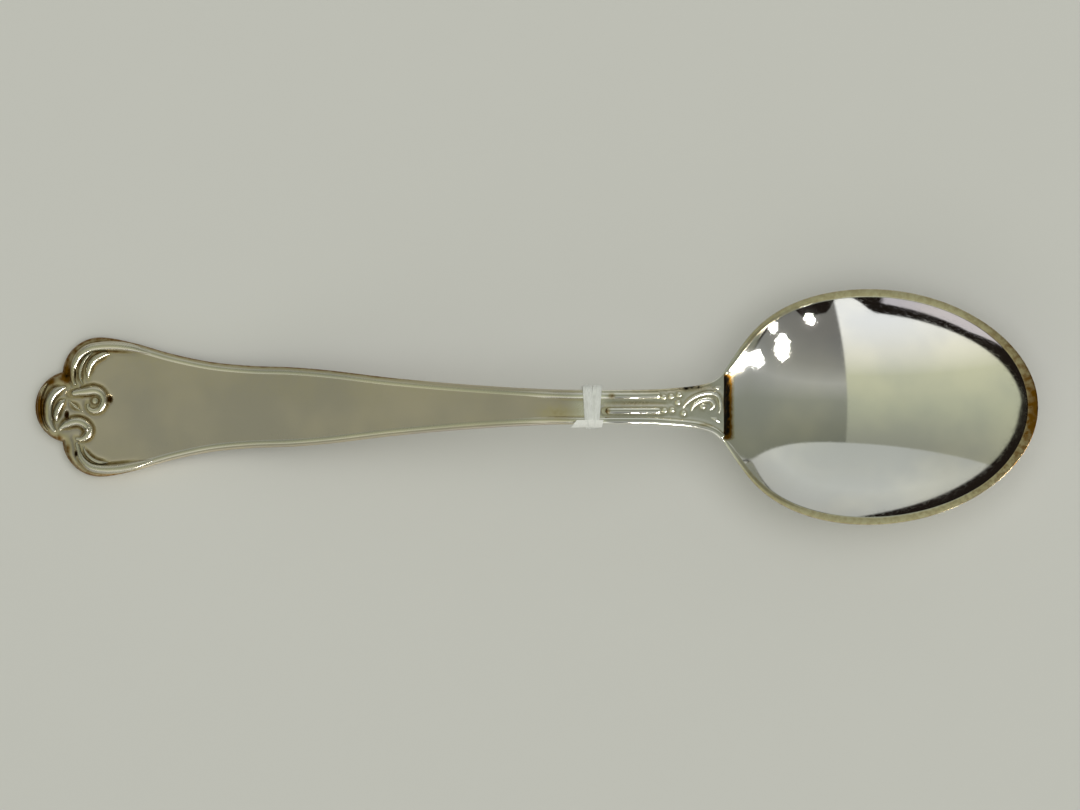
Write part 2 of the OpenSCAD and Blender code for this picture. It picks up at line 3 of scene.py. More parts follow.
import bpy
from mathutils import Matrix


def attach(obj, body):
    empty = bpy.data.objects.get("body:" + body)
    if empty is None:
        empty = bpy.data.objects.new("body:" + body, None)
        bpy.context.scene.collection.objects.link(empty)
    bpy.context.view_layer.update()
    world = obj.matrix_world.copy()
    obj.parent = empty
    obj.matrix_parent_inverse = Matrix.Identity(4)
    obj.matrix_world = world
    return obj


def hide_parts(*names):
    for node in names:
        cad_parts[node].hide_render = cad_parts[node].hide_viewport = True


bl_info = {
    "name": "Scrolled Teaspoon",
    "version": (1, 0, 0),
    "blender": (4, 5, 0),
    "location": "View3D > Sidebar > Teaspoon",
    "description": "Polished bowl, satin handle, chased relief and a thread tie for the teaspoon",
    "category": "Add Mesh",
}

import math
import random
from types import SimpleNamespace

import bpy
import numpy as np
from mathutils import Quaternion, Vector, kdtree

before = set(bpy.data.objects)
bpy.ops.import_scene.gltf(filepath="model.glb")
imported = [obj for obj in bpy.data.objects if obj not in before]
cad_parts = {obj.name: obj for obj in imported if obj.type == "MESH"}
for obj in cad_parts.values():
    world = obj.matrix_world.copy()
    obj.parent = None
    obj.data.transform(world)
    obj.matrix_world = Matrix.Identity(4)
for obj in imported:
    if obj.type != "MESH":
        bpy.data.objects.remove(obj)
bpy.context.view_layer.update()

MILLIMETRE = 0.001


def length(label, millimetres, description):
    """A size that the user may change, kept in metres."""
    return bpy.props.FloatProperty(
        name=label, description=description, default=millimetres * MILLIMETRE, min=0,
        unit="LENGTH", subtype="DISTANCE", precision=5
    )


def share(label, default, description):
    """A plain number from zero to one."""
    return bpy.props.FloatProperty(
        name=label, description=description, default=default, min=0, max=1, subtype="FACTOR"
    )


def colour(label, default, description):
    """A linear colour."""
    return bpy.props.FloatVectorProperty(
        name=label, description=description, default=default, size=3, min=0, max=1, subtype="COLOR"
    )


class TeaspoonHandleSizes(bpy.types.PropertyGroup):
    """Sizes of the handle and the stem"""

    handle_length: length("Handle length", 69.5, "From the crest's tip to the crown under the tie")
    end_length: length("End length", 12, "Length of the flat lobed end")
    end_width: length("End width", 17.4, "Width over both lobes")
    end_thickness: length("End thickness", 1.9, "Thickness of the flat end")
    lobe_radius: length("Lobe radius", 4.7, "Radius of a side lobe in plan")
    crest_radius: length("Crest radius", 4.5, "Radius of the middle lobe in plan")
    blade_thickness: length("Blade thickness", 1.7, "Middle thickness of the blade at its waist")
    blade_edge_height: length("Blade edge height", 1.2, "Height of the blade's side edge")
    stem_length: length("Stem length", 16.4, "From the crown to the bowl")
    stem_width: length("Stem width", 4.3, "Narrowest width of the stem")
    stem_thickness: length("Stem thickness", 2.5, "Thickness of the stem")
    stem_edge_height: length("Stem edge height", 1.6, "Height of the stem's side edge")
    shoulder_width: length("Shoulder width", 8.84, "Width where the stem meets the bowl")
    shoulder_thickness: length("Shoulder thickness", 2.4, "Thickness where the stem meets the bowl")
    shoulder_edge_height: length("Shoulder edge height", 1.1, "Side edge where the stem meets the bowl")
    shoulder_length: length("Shoulder length", 10.4, "Straight slope down to the bowl")
    crown_height: length("Crown height", 14.4, "Height of the stem's top over the table")
    edge_rounding: length("Edge rounding", 0.3, "Radius of the worn upper edges")
    lobe_rounding: length("Lobe rounding", 0.8, "Radius of the sloping edge round the lobes")
    valley_depth: length("Valley depth", 0.22, "Depth of the chased ground beside the relief")
    pit_depth: length("Pit depth", 0.5, "Depth of the small pits between the scrolls")


class TeaspoonBowlSizes(bpy.types.PropertyGroup):
    """Sizes of the bowl"""

    bowl_length: length("Bowl length", 39.1, "From the stem to the bowl's tip")
    bowl_width: length("Bowl width", 29.36, "Over both rims")
    bowl_depth: length("Bowl depth", 6.8, "From the rim to the lowest point inside")
    floor_wall: length("Floor wall", 1.1, "Wall at the lowest point")
    rim_width: length("Rim width", 0.85, "Width of the flat rim at the sides")
    rim_edge_height: length("Rim edge height", 0.3, "Height of the rim's outer edge")
    front_length: length("Front length", 21.1, "From the widest place to the tip")
    rear_rise_height: length("Rear rise", 1.4, "How far the rim rises to the stem")
    tip_rise_height: length("Tip rise", 0.3, "How far the rim rises to the tip")
    mouth_step_height: length("Mouth step", 1, "Step from the stem down into the bowl")
    mouth_fillet: length("Mouth fillet", 1.3, "Length of the hollow curve at that step")


class TeaspoonReliefSizes(bpy.types.PropertyGroup):
    """Sizes of the raised threads, scrolls, reeds and beads"""

    thread_width: length("Thread width", 0.84, "Width of a border thread")
    thread_height: length("Thread height", 0.35, "Height of a border thread")
    thread_margin: length("Thread margin", 0.26, "From the blade's edge to the border thread")
    stem_margin: length("Stem margin", 0.06, "From the stem's edge to the border thread")
    upper_shift: length("Upper shift", 0.28, "How far the upper thread moves in on the stem")
    scroll_width: length("Scroll width", 1.06, "Width of a scroll")
    scroll_height: length("Scroll height", 0.55, "Height of a scroll")
    reed_width: length("Reed width", 0.48, "Width of a fine reed")
    reed_height: length("Reed height", 0.3, "Height of a fine reed")
    eye_radius: length("Eye radius", 0.46, "Radius of the scroll's eye")
    ridge_width: length("Ridge width", 0.86, "Width of the stem's middle ridge")
    ridge_offset: length("Ridge offset", 0.48, "How far that ridge lies below the middle line")
    shoulder_scroll_width: length("Shoulder scroll width", 0.5, "Width of the shoulder's scroll")
    shoulder_height: length("Shoulder relief height", 0.35, "Height of the shoulder's relief")
    bead_radius: length("Bead radius", 0.37, "Radius of a bead")


class TeaspoonTieSizes(bpy.types.PropertyGroup):
    """Sizes of the thread tie and its paper tab"""

    strand_width: length("Strand width", 0.85, "Width of the wound strand's middle part")
    strand_thickness: length("Strand thickness", 0.5, "Thickness of the strand")
    turn_gap: length("Turn gap", 0.45, "Gap between two turns of the strand's middle part")
    bend_radius: length("Bend radius", 0.9, "Bend at a corner of the stem")
    clearance: length("Clearance", 0.1, "Gap from the strand to the stem")
    slack: length("Slack", 0.66, "Gap under the stem, so that the tie can slide")
    ply_radius: length("Ply radius", 0.13, "Radius of one ply of the strand")
    knot_width: length("Knot width", 1.4, "Width of the knot")
    bight_thickness: length("Bight thickness", 0.4, "Thickness of the knot's lower bight")
    tab_width: length("Tab width", 3.3, "Width of the paper tab")
    tab_thickness: length("Tab thickness", 0.22, "Thickness of the paper tab")


class TeaspoonFinish(bpy.types.PropertyGroup):
    """Colours of silver, tarnish, thread and paper"""

    silver: colour("Silver", (0.93, 0.905, 0.84), "Clean silver")
    tarnish: colour("Tarnish", (0.19, 0.085, 0.007), "Brown tarnish in hollows and along edges")
    straw: colour("Straw tarnish", (0.58, 0.51, 0.32), "First yellow bloom of tarnish")
    satin: colour("Satin silver", (0.59, 0.525, 0.455), "Silver of the handle's satin field")
    stem: colour("Stem silver", (0.95, 0.93, 0.82), "Silver of the stem")
    relief: colour("Relief silver", (0.66, 0.625, 0.51), "Silver of the raised relief")
    cotton: colour("Cotton", (0.78, 0.79, 0.77), "Soft white thread")
    paper: colour("Paper", (0.84, 0.84, 0.82), "White label paper")
    floor: colour("Floor", (0.62, 0.615, 0.60), "Plain pale table")
    bowl_roughness: share("Bowl roughness", 0.035, "Polish of the bowl")
    handle_roughness: share("Handle roughness", 0.24, "Satin of the handle")
    stem_roughness: share("Stem roughness", 0.15, "Polish of the stem")
    relief_roughness: share("Relief roughness", 0.26, "Polish of the relief on the handle's end")
    stem_relief_roughness: share("Stem relief roughness", 0.11, "Polish of the relief on the stem")
    worn_relief_roughness: share("Worn relief roughness", 0.24, "Polish of the shoulder's scroll")


GROUPS = {
    "teaspoon_handle": TeaspoonHandleSizes,
    "teaspoon_bowl": TeaspoonBowlSizes,
    "teaspoon_relief": TeaspoonReliefSizes,
    "teaspoon_tie": TeaspoonTieSizes,
    "teaspoon_finish": TeaspoonFinish,
}


def sizes(group_name):
    """The sizes of a group in millimetres, by name."""
    group = getattr(bpy.context.scene, group_name)
    return {name: getattr(group, name) / MILLIMETRE for name in GROUPS[group_name].__annotations__}


def spoon_sizes():
    """Every size in millimetres, with those that follow from others."""
    s = SimpleNamespace(
        **sizes("teaspoon_handle"), **sizes("teaspoon_bowl"), **sizes("teaspoon_relief")
    )
    s.total = s.handle_length + s.stem_length + s.bowl_length
    s.bowl_start = s.handle_length + s.stem_length
    s.widest_x = s.total - s.front_length
    s.rear_length = s.widest_x - s.bowl_start
    s.end_half, s.stem_half = s.end_width / 2, s.stem_width / 2
    s.shoulder_half, s.bowl_half = s.shoulder_width / 2, s.bowl_width / 2
    s.rim_height = s.bowl_depth + s.floor_wall
    s.mouth_height = s.rim_height + s.rear_rise_height
    s.straight_start = s.bowl_start - s.shoulder_length
    s.crown_bend = s.straight_start - s.handle_length
    s.slope = (s.crown_height - s.mouth_height) / (s.stem_length - s.crown_bend / 2)
    s.lobe_x = HANDLE_OUTLINE[0][0] * s.handle_length
    s.lobe_y = s.end_half - s.lobe_radius
    s.reeds_end = s.bowl_start - REEDS_END_SHARE * s.shoulder_length
    return s


# Shape of the spoon, in millimetres from the crest's tip

# Share of the handle's length, then share of the way from the stem's half-width to the end's
HANDLE_OUTLINE = [
    (0.1165, 1), (0.174, 0.9), (0.245, 0.687), (0.3165, 0.53), (0.3885, 0.456), (0.4604, 0.429),
    (0.5324, 0.365), (0.6388, 0.229), (0.7827, 0.094), (0.9252, 0.008), (1, 0),
]
# Share of the stem's length, then share of the way out to the shoulders
STEM_OUTLINE = [
    (0, 0), (0.3, 0), (0.457, 0.02), (0.61, 0.092), (0.744, 0.176), (0.823, 0.264), (0.884, 0.396),
    (0.945, 0.617), (1, 1), (1.06, 1.62),
]
# Shares of the handle's length where it is thinnest and where it has the stem's thickness
WAIST_SHARE, SNUG_SHARE = 0.42, 0.93
# Where the crest meets a side lobe: past the lobe's start, and as shares of the two radii
NOTCH_GAP = 0.016
NOTCH_ON_CREST, NOTCH_ON_LOBE = 0.7588, 0.9965
# Share of the shoulder's length, back from the bowl, where the upper thread and the ridge end
REEDS_END_SHARE = 0.75
# Shares of the bowl's rear length where it starts to flare and where the egg outlines would end
FLARE_START_SHARE = 0.78
INNER_END_SHARE, OUTER_END_SHARE = 0.972, 0.995
# Shares of the rim's width at the mouth and at the tip
MOUTH_RIM_SHARE, TIP_RIM_SHARE = 0.6, 1.4
# How much fuller than a parabola the bowl's sections and the outer outline are
INNER_ROUNDNESS, OUTER_ROUNDNESS = 0.02, 0.05
OUTER_FULLNESS = 1.078


def mix(a, b, t):
    return a + (b - a) * t


def clamp01(t):
    return np.clip(t, 0, 1)


def ease(t):
    return t * t * (3 - 2 * t)


def fade(x, start, end):
    """Zero up to start and one from end on, with a soft way between them."""
    return ease(clamp01((x - start) / (end - start)))


def bell(t):
    """One at zero, falling off softly on both sides."""
    return np.exp(-(t**2))


def rounded(radius, away):
    """How far a rounded edge lies below a sharp one at a distance from it."""
    return radius - np.sqrt(np.maximum(radius**2 - np.maximum(radius - away, 0) ** 2, 0))


def smooth_at(table, x):
    """Value at x of a smooth curve through a table of (x, value) pairs, level at both ends."""
    xs, ys = (np.array(column, float) for column in zip(*table))
    slopes = np.zeros(len(xs))
    slopes[1:-1] = (ys[2:] - ys[:-2]) / (xs[2:] - xs[:-2])
    i = np.clip(np.searchsorted(xs, x, "right") - 1, 0, len(xs) - 2)
    run = xs[i + 1] - xs[i]
    t = clamp01((x - xs[i]) / run)
    bend = run * t * (1 - t) * (slopes[i] * (1 - t) - slopes[i + 1] * t)
    return mix(ys[i], ys[i + 1], ease(t)) + bend


def blade_half(s, x):
    """Half-width in plan of the handle and stem behind the lobes."""
    return np.where(
        x <= s.handle_length,
        mix(s.stem_half, s.end_half, smooth_at(HANDLE_OUTLINE, x / s.handle_length)),
        mix(s.stem_half, s.shoulder_half,
            smooth_at(STEM_OUTLINE, (x - s.handle_length) / s.stem_length)),
    )


def plan_half(s, x):
    """Half-width in plan of the whole handle, lobes and crest included."""
    crest = np.sqrt(np.maximum(s.crest_radius**2 - (x - s.crest_radius) ** 2, 0))
    lobe = s.lobe_y + np.sqrt(np.maximum(s.lobe_radius**2 - (x - s.lobe_x) ** 2, 0))
    notch = s.lobe_x - s.lobe_radius + NOTCH_GAP
    return np.where(x < notch, crest, np.where(x < s.lobe_x, lobe, blade_half(s, x)))


def top_height(s, x):
    """Height of the top surface, flat from side to side."""
    rise = mix(s.end_thickness, s.crown_height, fade(x, s.end_length, s.handle_length))
    bend = s.crown_height - s.slope * (x - s.handle_length) ** 2 / (2 * s.crown_bend)
    fall = s.mouth_height + s.slope * (s.bowl_start - x)
    return np.where(x <= s.handle_length, rise, np.where(x <= s.straight_start, bend, fall))


def section_at(s, x, waist, snug, shoulder):
    """A height along the spoon, from the flat end's to those at three places further on."""
    return smooth_at(
        [(s.end_length, s.end_thickness), (s.handle_length * WAIST_SHARE, waist),
         (s.handle_length * SNUG_SHARE, snug), (s.straight_start, snug), (s.bowl_start, shoulder)],
        x)


def thickness_at(s, x):
    return section_at(s, x, s.blade_thickness, s.stem_thickness, s.shoulder_thickness)


def edge_at(s, x):
    return section_at(s, x, s.blade_edge_height, s.stem_edge_height, s.shoulder_edge_height)


def smooth_path(points, steps):
    """Smooth plan curve through given points."""
    p = np.array(points, float)
    p = np.vstack([2 * p[0] - p[1], p, 2 * p[-1] - p[-2]])
    t = np.linspace(0, 1, steps, endpoint=False)[:, None]
    out = [
        0.5 * (2 * b + (c - a) * t + (2 * a - 5 * b + 4 * c - d) * t * t
               + (3 * b - a - 3 * c + d) * t**3)
        for a, b, c, d in zip(p[:-3], p[1:-2], p[2:-1], p[3:])
    ]
    return np.vstack(out + [p[-2]])


def run_along(points):
    """Length of a path up to each of its points."""
    return np.concatenate([[0], np.cumsum(np.linalg.norm(np.diff(points, axis=0), axis=1))])


def directions(points):
    """Unit directions of a path at its points."""
    ahead = np.gradient(points, axis=0)
    return ahead / np.maximum(np.linalg.norm(ahead, axis=1), 1e-9)[:, None]


def even_path(points, step):
    """The same path with its points a step apart."""
    run = run_along(points)
    at = np.linspace(0, run[-1], max(8, int(run[-1] / step)) + 1)
    return np.stack([np.interp(at, run, points[:, k]) for k in range(points.shape[1])], axis=1)


# The relief's routes: shares of the end's length and half-width, or of the shoulder's

# Share of a strand's length, then share of its full width and height there
EVEN = [(0, 1), (1, 1)]
LEAF_SHAPE = [(0, 0.25), (0.45, 1), (1, 0.2)]
TAPERED_ENDS = [(0, 0.4), (0.2, 1), (0.75, 1), (1, 0.45)]
LATE_START = [(0, 0.05), (0.3, 1), (0.7, 1), (1, 0.5)]

END_RELIEF = {
    "upper_scroll": ("scroll", LATE_START, [
        (0.84, 0.875), (0.69, 0.872), (0.56, 0.84), (0.465, 0.75), (0.415, 0.635), (0.39, 0.51),
        (0.39, 0.4), (0.42, 0.305)]),
    "upper_mid_reed": ("reed", TAPERED_ENDS, [
        (0.6, 0.79), (0.535, 0.71), (0.49, 0.61), (0.468, 0.51), (0.47, 0.41), (0.5, 0.32)]),
    "upper_inner_reed": ("roll", TAPERED_ENDS, [
        (0.78, 0.77), (0.7, 0.745), (0.625, 0.69), (0.575, 0.61), (0.553, 0.51), (0.55, 0.41)]),
    "centre_scroll": ("scroll", [(0, 0.8), (0.3, 1.15), (0.5, 1), (0.75, 0.85), (1, 0.5)], [
        (0.37, 0.19), (0.45, 0.212), (0.53, 0.225), (0.61, 0.24), (0.675, 0.21), (0.712, 0.13),
        (0.705, 0.04), (0.665, -0.035), (0.6, -0.055), (0.553, -0.01), (0.55, 0.06)]),
    "lower_scroll": ("scroll", LATE_START, [
        (0.84, -0.885), (0.69, -0.89), (0.58, -0.86), (0.505, -0.78), (0.463, -0.68),
        (0.445, -0.58), (0.43, -0.5)]),
    "lower_volute": ("scroll", TAPERED_ENDS, [
        (0.24, -0.335), (0.295, -0.268), (0.365, -0.222), (0.44, -0.205), (0.505, -0.235),
        (0.548, -0.3), (0.555, -0.37), (0.525, -0.43), (0.47, -0.462), (0.415, -0.45)]),
    "lower_reed": ("reed", TAPERED_ENDS, [
        (0.76, -0.8), (0.66, -0.79), (0.58, -0.735), (0.525, -0.65), (0.5, -0.56)]),
    "crest_lip": ("reed", TAPERED_ENDS, [
        (0.13, 0.345), (0.078, 0.25), (0.05, 0.13), (0.043, 0), (0.05, -0.13), (0.078, -0.25),
        (0.13, -0.345)]),
    "crest_ridge": ("scroll", TAPERED_ENDS, [
        (0.325, 0.29), (0.27, 0.265), (0.21, 0.215), (0.165, 0.14), (0.137, 0.04), (0.13, -0.07),
        (0.14, -0.18), (0.17, -0.28), (0.215, -0.36)]),
    "crest_inner_ridge": ("roll", TAPERED_ENDS, [
        (0.315, 0.115), (0.268, 0.05), (0.235, -0.03), (0.218, -0.12), (0.225, -0.21)]),
    "crest_leaf": ("reed", LEAF_SHAPE, [(0.345, 0.1), (0.41, 0.015), (0.5, -0.075)]),
}
# Pits between the scrolls, black with painted shade: place, half-length and half-width, in millimetres
PITS = [(9.28, 0.97, 0.34, 0.46), (3.95, -1.05, 0.22, 0.5), (5.12, -5.8, 0.14, 0.34),
        (6.78, -2.75, 0.2, 0.24), (5.0, 4.2, 0.08, 0.7)]
# Stains of tarnish: place, reach along and across in millimetres, and strength
STAINS = [
    (65.3, -0.9, 2.8, 1.1, 0.4), (71.9, 1.35, 0.45, 0.3, 0.8), (71.2, -0.55, 0.5, 0.45, 0.9),
    (71.6, 0.35, 1.6, 0.35, 0.45), (78.0, 0.45, 1.2, 0.25, 0.5), (82.0, 2.6, 2.2, 0.6, 1.35),
    (84.0, -2.2, 1.6, 0.3, 0.5), (3.9, 3.7, 1.0, 1.0, 0.9), (1.9, 3.3, 0.9, 0.9, 0.8),
    (3.0, -4.0, 0.7, 0.8, 0.9), (4.1, -5.5, 0.5, 1.5, 0.9), (5.2, -7.3, 0.9, 0.5, 0.75),
    (4.0, 5.2, 0.55, 1.5, 0.85), (4.9, 6.9, 0.8, 0.7, 0.7), (0.5, -0.5, 0.95, 2.9, 1.3),
    (87.6, 4.6, 0.9, 0.7, 0.45), (20.0, 6.6, 7.0, 0.8, 0.2), (74.8, 0.5, 3.0, 0.35, 1.0),
    (77.0, 2.15, 5.0, 0.4, 0.8),
]
# How far a border thread starts before the flat end's end, and how far a scroll follows it back
THREAD_LAP, SCROLL_LEAD = 0.6, 4
ROUTE_STEPS, LEAF_STEPS = 24, 16
CENTRE_EYE = (0.625, 0.09)
SHOULDER_RELIEF = {
    "shoulder_scroll": [
        (0.505, -0.03), (0.56, 0.13), (0.65, 0.28), (0.75, 0.37), (0.85, 0.395), (0.93, 0.32),
        (0.96, 0.15), (0.96, -0.04), (0.935, -0.18)],
    "shoulder_volute": [
        (0.61, -0.13), (0.635, 0.03), (0.695, 0.14), (0.77, 0.2), (0.84, 0.195), (0.878, 0.11),
        (0.87, -0.01), (0.825, -0.09)],
}
SHOULDER_CORNERS = [
    [(0.86, 0.525), (0.915, 0.54), (0.975, 0.6)],
    [(0.84, -0.29), (0.905, -0.35), (0.965, -0.46)],
]
SHOULDER_BEADS = [
    (0.277, 0.276), (0.365, 0.3), (0.46, 0.346), (0.448, 0.127), (0.287, -0.098), (0.377, -0.084),
    (0.514, -0.169), (0.745, 0.02),
]


def on_end(s, shares):
    return [(a * s.end_length, b * s.end_half) for a, b in shares]


def on_shoulder(s, shares):
    return [(mix(s.straight_start, s.bowl_start, a), b * s.shoulder_half) for a, b in shares]


def thread_path(s, side, first, last):
    """Middle line of a border thread, which follows the edge and lies closer to it on the stem."""
    x = np.linspace(first, last, int((last - first) / 0.25))
    on_stem = fade(x, s.handle_length - 0.5 * s.stem_length, s.handle_length)
    inset = s.thread_width / 2 + mix(s.thread_margin, s.stem_margin, on_stem)
    if side > 0:
        inset = inset + s.upper_shift * on_stem
    return np.stack([x, side * (blade_half(s, x) - inset)], axis=1)


def thread_rise(x):
    """Share of its full height that a border thread has: worn low along the blade."""
    return smooth_at([(0, 1), (9, 1), (15, 0.4), (45, 0.24), (61, 0.22), (68, 1), (90, 1)], x)


def thread_softness(x):
    """How far a border thread melts into the field, from 0, crisp, to 1."""
    return smooth_at([(0, 0), (9, 0), (15, 1), (61, 1), (68, 0), (90, 0)], x)


def past_end(s, x):
    """Zero on the flat end, and one from twice its length on."""
    return clamp01((x - s.end_length) / s.end_length)


def stain_at(x, y):
    """Strength of the stains of tarnish at places on the top."""
    total = np.zeros(np.shape(x))
    for cx, cy, along, across, strength in STAINS:
        total = total + strength * bell((x - cx) / along) * bell((y - cy) / across)
    return total


def relief_routes(s):
    """Every raised strand: name, path in plan, half-width, height and swell along it."""
    full = {
        "scroll": (s.scroll_width / 2, s.scroll_height),
        "roll": (s.scroll_width * 0.38, s.scroll_height * 0.85),
        "reed": (s.reed_width / 2, s.reed_height),
    }
    thread_start = s.end_length - THREAD_LAP
    routes = {}
    for name, (kind, swell, shares) in END_RELIEF.items():
        half, height = full[kind]
        points = on_end(s, shares)
        if name in ("upper_scroll", "lower_scroll"):
            side = 1 if name == "upper_scroll" else -1
            lead = thread_path(s, side, thread_start, s.end_length + SCROLL_LEAD)[::-1][:-1:5]
            points = [tuple(p) for p in lead] + points
        routes[name] = (smooth_path(points, ROUTE_STEPS), half, height, swell)
    for name, shares in SHOULDER_RELIEF.items():
        routes[name] = (smooth_path(on_shoulder(s, shares), ROUTE_STEPS),
                        s.shoulder_scroll_width / 2, s.shoulder_height, TAPERED_ENDS)
    half, height = s.thread_width / 2, s.thread_height
    for name, side, last in (("upper_border_thread", 1, s.reeds_end),
                             ("lower_border_thread", -1, s.bowl_start)):
        routes[name] = (thread_path(s, side, thread_start, last), half, height, EVEN)
    ridge_start = s.handle_length + 0.1 * s.stem_length
    routes["stem_ridge"] = (
        np.array([(x, -s.ridge_offset) for x in np.linspace(ridge_start, s.reeds_end, 30)]),
        s.ridge_width / 2, height, EVEN)
    return routes


def plan_tree(places):
    """A search tree of places in plan."""
    tree = kdtree.KDTree(len(places))
    for i, place in enumerate(places):
        tree.insert((place[0], place[1], 0), i)
    tree.balance()
    return tree


class Ground:
    """The chased ground under the relief: how deep it lies and how hollow it is at each place."""

    # In millimetres: from point to point of a route, and how far a hollow reaches beside it
    STEP, REACH = 0.12, 0.33
    # How hollow it is beside a border thread and a bead
    BORDER, BEAD = 0.55, 0.8
    # Depth on the stem as a share of the depth at the end
    STEM_SHARE = 0.4
    # Where the hollow of a scroll that follows the edge has gone, and where it is full
    LEAD_END = (14.5, 10)

    def __init__(self, s):
        self.s = s
        # Strands that lie side by side go in different layers, so that each keeps its own hollow
        layers = {"border": [], "scroll": [], "roll": [], "reed": [], "bead": []}
        for name, (path, half, _, swell) in relief_routes(s).items():
            path = even_path(path, self.STEP)
            x = path[:, 0]
            grown = smooth_at(swell, np.linspace(0, 1, len(path)))
            if "border" in name:
                kind, width = "border", np.full(len(path), half)
                hollow = self.BORDER * (1 - thread_softness(x)) * clamp01((x - x[0]) / 3)
            else:
                kind, width = END_RELIEF[name][0] if name in END_RELIEF else "reed", half * grown
                leads_in = name in ("upper_scroll", "lower_scroll")
                hollow = grown * fade(x, *self.LEAD_END) if leads_in else grown
            layers[kind] += list(zip(x, path[:, 1], width, hollow))
        layers["bead"] += [(x, y, s.eye_radius, 1) for x, y in on_end(s, [CENTRE_EYE])]
        layers["bead"] += [(x, y, s.bead_radius, self.BEAD) for x, y in on_shoulder(s, SHOULDER_BEADS)]
        self.layers = [(plan_tree(rows), np.array(rows)) for rows in layers.values()]

    def hollow(self, x, y):
        """One right beside the relief and two in a pit, falling to zero a little away; past one the
        silver is painted black as shade.
        """
        total = 2 * self.pit(x, y)
        for tree, rows in self.layers:
            found = [tree.find((a, b, 0)) for a, b in zip(x, y)]
            i = np.array([f[1] for f in found])
            away = np.array([f[2] for f in found]) - rows[i, 2]
            near = bell(np.maximum(away, -0.1) / self.REACH)
            total = np.maximum(total, near * rows[i, 3])
        return total

    def pit(self, x, y):
        """One in the middle of a pit, falling to zero at its edge."""
        x, y = np.asarray(x), np.asarray(y)
        return np.max([np.exp(-1.3 * (((x - a) / p) ** 2 + ((y - b) / q) ** 2))
                       for a, b, p, q in PITS], axis=0)

    def depth(self, x, y):
        """Depth below the top; the stem is chased less deeply than the end."""
        share = mix(1, self.STEM_SHARE, past_end(self.s, np.asarray(x)))
        valley = np.minimum(self.hollow(x, y), 1)
        return self.s.valley_depth * share * valley + self.s.pit_depth * self.pit(x, y)


# Making pieces


def deselect_all():
    if bpy.context.object and bpy.context.object.mode != "OBJECT":
        bpy.ops.object.mode_set(mode="OBJECT")
    bpy.ops.object.select_all(action="DESELECT")


def only(piece):
    deselect_all()
    piece.select_set(True)
    bpy.context.view_layer.objects.active = piece


def coordinates(mesh):
    co = np.zeros(len(mesh.vertices) * 3)
    mesh.vertices.foreach_get("co", co)
    return co.reshape(-1, 3)


def set_coordinates(mesh, co):
    mesh.vertices.foreach_set("co", np.ascontiguousarray(co, dtype=np.float32).ravel())
    mesh.update()


def set_hollow(piece, values):
    """How hollow and dark each vertex is, up to 2, which the silver's material reads; past one it
    paints shade in black.
    """
    layer = piece.data.attributes.new("hollow", "FLOAT", "POINT")
    values = np.clip(values, 0, 2)
    layer.data.foreach_set("value", np.ascontiguousarray(values, dtype=np.float32))


def to_row(s, x, y, z):
    """Millimetres from the crest's tip to metres in the frame."""
    return np.stack([x - s.total / 2, y, z], axis=-1) * MILLIMETRE


def ball_piece(name, segments, rings, place):
    """A ball whose rings are set one by one along the piece. place takes the number of each
    vertex's ring and segment, and gives its place in metres with how hollow it is, if it says."""
    deselect_all()
    bpy.ops.mesh.primitive_uv_sphere_add(segments=segments, ring_count=rings, radius=1)
    piece = bpy.context.object
    piece.name = piece.data.name = name
    co = coordinates(piece.data)
    ring = np.rint(np.arctan2(np.hypot(co[:, 0], co[:, 1]), co[:, 2]) / math.pi * rings)
    segment = np.rint(np.arctan2(co[:, 1], co[:, 0]) / (2 * math.pi) * segments) % segments
    placed, hollow = place(ring.astype(int), segment.astype(int))
    set_coordinates(piece.data, placed)
    if hollow is not None:
        set_hollow(piece, hollow)
    close_up(piece)
    return piece


def close_up(piece):
    """Merges doubles, turns the faces outwards and smooths them."""
    only(piece)
    bpy.ops.object.mode_set(mode="EDIT")
    bpy.ops.mesh.select_all(action="SELECT")
    bpy.ops.mesh.remove_doubles(threshold=1e-7)
    bpy.ops.mesh.normals_make_consistent(inside=False)
    bpy.ops.object.mode_set(mode="OBJECT")
    bpy.ops.object.shade_smooth()
    piece.select_set(False)


def join(name, parts):
    """Joins parts into the first one."""
    deselect_all()
    for part in parts:
        part.select_set(True)
    bpy.context.view_layer.objects.active = parts[0]
    if len(parts) > 1:
        bpy.ops.object.join()
    piece = bpy.context.object
    piece.name = piece.data.name = name
    piece.select_set(False)
    return piece


def settle(piece, body, material, nodes):
    """Gives a finished piece its material, body, slot and the nodes that it stands for."""
    piece.data.materials.clear()
    piece.data.materials.append(material)
    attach(piece, body)
    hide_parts(*nodes)
    return piece


# Materials


